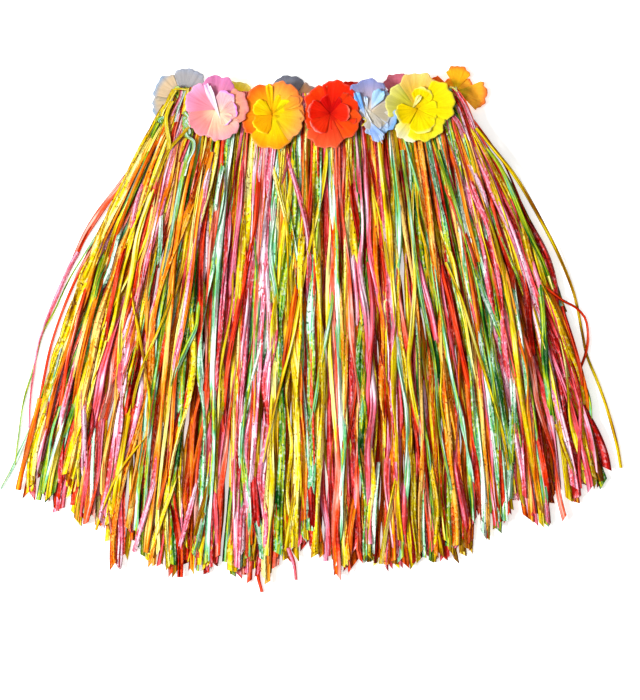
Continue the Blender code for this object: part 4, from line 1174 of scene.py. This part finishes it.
# Back flowers, pressed flat under the skirt. Each petal: direction, length in mm, half angle, dye at the
# throat, on the blade and at the rim; the inner ring, hidden from above, has five more between them.
pressedFlowers = {
    "back_white": ((75, 38, 37, "dcd0c4", "9c9ca0", "949cac"), (148, 38, 34, "dcc4a8", "c4ae90", "8498b0"),
                   (209, 40, 34, "dcc4a8", "b8a88e", "8498b0"), (281, 39, 36, "dccfc0", "c8b8a0", "a8b4c8"),
                   (355, 39, 36, "dccfc0", "c8b8a0", "a8b4c8")),
    "back_gold": tuple((48 + 72 * i, 41, 37, "f4c800", "ffe430", "ffe878") for i in range(5)),
    # the grey flower's top petal is darker than the rest: painted shade
    "back_grey": ((92, 38, 37, "dcb890", "747a88", "5c6474"), (20, 39, 37, "e8c4a0", "d8b08c", "8c8c98"),
                  (164, 39, 37, "dcb890", "84889c", "6c7084"), (236, 39, 37, "dcb890", "84889c", "6c7084"),
                  (308, 39, 37, "dcb890", "84889c", "6c7084")),
    "back_red": tuple((60 + 72 * i, 36, 37, "b40404", "e02210", "c01008") for i in range(5)),
    "back_mauve": ((92, 35, 36, "c8a0b4", "c46c84", "b05c70"), (28, 39, 37, "c8a0b4", "c46c84", "b05c70"),
                   (172, 39, 37, "c8a8b8", "a49cb8", "9c90b4"), (244, 39, 37, "c8a8b8", "c46c84", "b05c70"),
                   (316, 39, 37, "c8a8b8", "c46c84", "b05c70")),
    "back_amber": ((82, 30, 34, "ffe420", "fcac18", "f47c28"), (-12, 38, 31, "ffe420", "fcb02c", "f47834"),
                   (172, 34, 30, "fca010", "f46a18", "ee5010"), (-84, 30, 30, "ffe020", "ffc024", "f8883c"),
                   (226, 39, 34, "ffcc00", "fba81a", "f4782c")),
}


def mixed(a, b, part):
    part = min(max(part, 0), 1)
    return [x + (y - x) * part for x, y in zip(a, b)]


# One petal on its rib, an arc that leaves the centre at the lift and turns up by the curl near its rim.
def addPetal(sheet, centre, turn, length, halfAngle, lift, curl, fold, petalDyes, order, ring, chance):
    throat, blade, rim = (linear(dye) for dye in petalDyes)
    rows, columns = cloth["rows"], cloth["columns"]
    length, turn, halfAngle = length * mm, math.radians(turn), math.radians(halfAngle)
    lift, curl, fold = math.radians(lift), math.radians(curl), math.radians(fold)
    rib, steps = [(0.0, 0.0)], 60
    for i in range(steps):
        angle = lift + curl * ((i + 0.5) / steps) ** 4
        forward, rise = rib[-1]
        rib.append((forward + length / steps * math.cos(angle), rise + length / steps * math.sin(angle)))
    pleatPhase, rufflePhase, lobePhase = (chance.uniform(0, 2 * math.pi) for _ in range(3))
    lobes, first, flatPoints = chance.uniform(2.2, 3.6), len(sheet["points"]), []
    out, side = Vector((math.cos(turn), math.sin(turn), 0)), Vector((-math.sin(turn), math.cos(turn), 0))
    base, rimStart, paleRimAndHighlight, rounding = cloth[ring]
    for i in range(rows + 1):
        s = (i / rows) ** 0.9
        for j in range(columns + 1):
            v = 2 * j / columns - 1
            rimWave = math.sin(lobes * math.pi * v + lobePhase) + 0.8 * math.sin(5.3 * lobes * v)
            reach = 1 - rounding * abs(v) ** 2.6 + cloth["scallop"] * rimWave
            r = length * (0.01 + 0.99 * s) * reach
            angle = v * halfAngle * (base + (1.06 - base) * math.sin(math.pi / 2 * s))
            a, b = r * math.cos(angle), r * math.sin(angle)
            flatPoints.append((a, b))
            at = min(max(a / length, 0), 1) * steps
            k = min(int(at), steps - 1)
            forward = rib[k][0] + (rib[k + 1][0] - rib[k][0]) * (at - k)
            rise = rib[k][1] + (rib[k + 1][1] - rib[k][1]) * (at - k)
            soft = math.hypot(b, cloth["softFold"]) - cloth["softFold"]  # a rounded fold, not a sharp one
            rise += soft * math.sin(fold)
            across = b * math.cos(fold)
            pleat = math.sin(cloth["pleats"] * math.pi * v + pleatPhase)
            if ring == "pressed":
                rise += cloth["pressedPleat"] * s * pleat
            else:
                rise += cloth["pleatDepth"] * s ** 1.2 * pleat
                rise += cloth["ruffle"] * s ** 3 * math.sin(1.9 * math.pi * v + rufflePhase)
                rise += cloth["shingle"] * s * v
            place = centre + out * forward + side * across
            place.z += rise + order * cloth["step"]
            sheet["points"].append(place)
            dye = mixed(mixed(throat, blade, s / 0.5), rim, (s * reach - rimStart) / (0.95 - rimStart))
            # the rim is paler: partly the heat-cut edge, partly a painted highlight
            sheet["dyes"].append(mixed(dye, (1, 1, 1, 1), paleRimAndHighlight * (i == rows)))
            sheet["ribs"].append((v * columns / 2, s))
    sheet["width"] += 2 * max(b for a, b in flatPoints)
    sheet["length"] = max(sheet["length"], max(a for a, b in flatPoints))
    for i in range(rows):
        for j in range(columns):
            k = first + i * (columns + 1) + j
            sheet["faces"].append((k, k + columns + 1, k + columns + 2, k + 1))
            (ax, ay), (bx, by) = flatPoints[k - first], flatPoints[k - first + columns + 2]
            (cx, cy), (dx, dy) = flatPoints[k - first + columns + 1], flatPoints[k - first + 1]
            sheet["area"] += abs((bx - ax) * (dy - cy) - (by - ay) * (dx - cx)) / 2


# Polysilk, woven polyester pressed hot over a ribbed die: it lets light through and is matte, with
# pressed veins painted with shade and highlight, and a paler heat-cut rim that is partly a painted highlight.
def petalMaterial():
    material, tree, shader = newMaterial("polysilkPetal")
    dye = addNode(tree, "ShaderNodeAttribute", attribute_name="dye").outputs["Color"]
    rib = addNode(tree, "ShaderNodeAttribute", attribute_name="rib").outputs["Vector"]
    veins = []
    for across, along in cloth["veins"]:
        at = addNode(tree, "ShaderNodeVectorMath", [rib, (across, along, 1)], operation="MULTIPLY")
        veins.append(addNode(tree, "ShaderNodeTexNoise", {"Vector": at, "Scale": 1.0, "Detail": 1.0}))
    veined = addNode(tree, "ShaderNodeMix", {0: 0.5, 2: veins[0], 3: veins[1]})
    # painted shade and highlight along the pressed veins
    shade = addNode(tree, "ShaderNodeMapRange", [veined, *cloth["veinShade"]])
    grey = addNode(tree, "ShaderNodeCombineColor", [shade, shade, shade])
    dyeWithPaintedShade = addNode(tree, "ShaderNodeMix", {0: 1.0, 6: dye, 7: grey}, data_type="RGBA",
                   blend_type="MULTIPLY").outputs[2]
    tree.links.new(dyeWithPaintedShade, shader.inputs["Base Color"])
    # threads, coarser than the real 0.2 mm
    weaveAt = addNode(tree, "ShaderNodeTexCoord").outputs["Object"]
    weave = addNode(tree, "ShaderNodeTexNoise", {"Vector": weaveAt, "Scale": 1 / (0.8 * mm), "Detail": 1.0})
    height = addNode(tree, "ShaderNodeMath", [veined, 1.4, weave], operation="MULTIPLY_ADD")
    bump = addNode(tree, "ShaderNodeBump", {"Strength": 0.6, "Distance": 0.3 * mm, "Height": height})
    tree.links.new(bump.outputs[0], shader.inputs["Normal"])
    shader.inputs["Roughness"].default_value = 0.6
    shader.inputs["Specular IOR Level"].default_value = 0.05
    shader.inputs["Subsurface Weight"].default_value = 0.55
    shader.inputs["Subsurface Radius"].default_value = (1.0, 0.9, 0.8)
    shader.inputs["Subsurface Scale"].default_value = 1.2 * mm
    return material


def sheetPiece(name, sheet, material):
    mesh = bpy.data.meshes.new(name)
    mesh.from_pydata(sheet["points"], [], sheet["faces"])
    layer = mesh.attributes.new("dye", "FLOAT_COLOR", "POINT")
    layer.data.foreach_set("color", [x for dye in sheet["dyes"] for x in dye])
    layer = mesh.attributes.new("rib", "FLOAT_VECTOR", "POINT")
    layer.data.foreach_set("vector", [x for across, along in sheet["ribs"] for x in (across, along, 0)])
    mesh.materials.append(material)
    piece = bpy.data.objects.new(name, mesh)
    bpy.context.scene.collection.objects.link(piece)
    wall = piece.modifiers.new("cloth", "SOLIDIFY")
    wall.thickness = cloth["thickness"]
    wall.offset = 1
    for polygon in mesh.polygons:
        polygon.use_smooth = True
    return piece


def makeFlowers():
    material = petalMaterial()
    chance = random.Random(cloth["seed"])
    for name in [*flowers, *pressedFlowers]:
        for ring in ("outer", "inner"):
            sheet = {"points": [], "faces": [], "dyes": [], "ribs": [], "area": 0, "width": 0, "length": 0}
            low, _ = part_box(f"flower_{name}_{ring}")
            outerLow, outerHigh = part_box(f"flower_{name}_outer")
            centre = Vector(((outerLow.x + outerHigh.x) / 2, (outerLow.y + outerHigh.y) / 2, 0))
            if name in flowers:
                petals = [row for row in flowers[name] if row[0] == ring]
                centre.y -= cloth["sink"]
                centre.z = outerLow.z + cloth["seat" if ring == "outer" else "innerSeat"]
                for order, (_, turn, length, halfAngle, lift, curl, fold, throat, blade, rim,
                            *off) in enumerate(petals):
                    sewn = centre + Vector((off[0][0] * mm, off[0][1] * mm, 0)) if off else centre
                    addPetal(sheet, sewn, turn, length, halfAngle, lift, curl, fold, (throat, blade, rim),
                             order, ring, chance)
            else:
                centre.z = low.z + cloth["seat"]
                inner = ring == "inner"
                share = cloth["innerShare"] if inner else 1
                for order, (turn, length, halfAngle, *petalDyes) in enumerate(pressedFlowers[name]):
                    addPetal(sheet, centre, turn + 36 * inner, length * share, halfAngle, 0, 0, 0, petalDyes,
                             order * cloth["pressedStep"], "pressed", chance)
            piece = sheetPiece(f"flower_{name}_{ring}_petals", sheet, material)
            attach(piece, "root")
            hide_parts(f"flower_{name}_{ring}")


makeFlowers()
print("flowers ready")
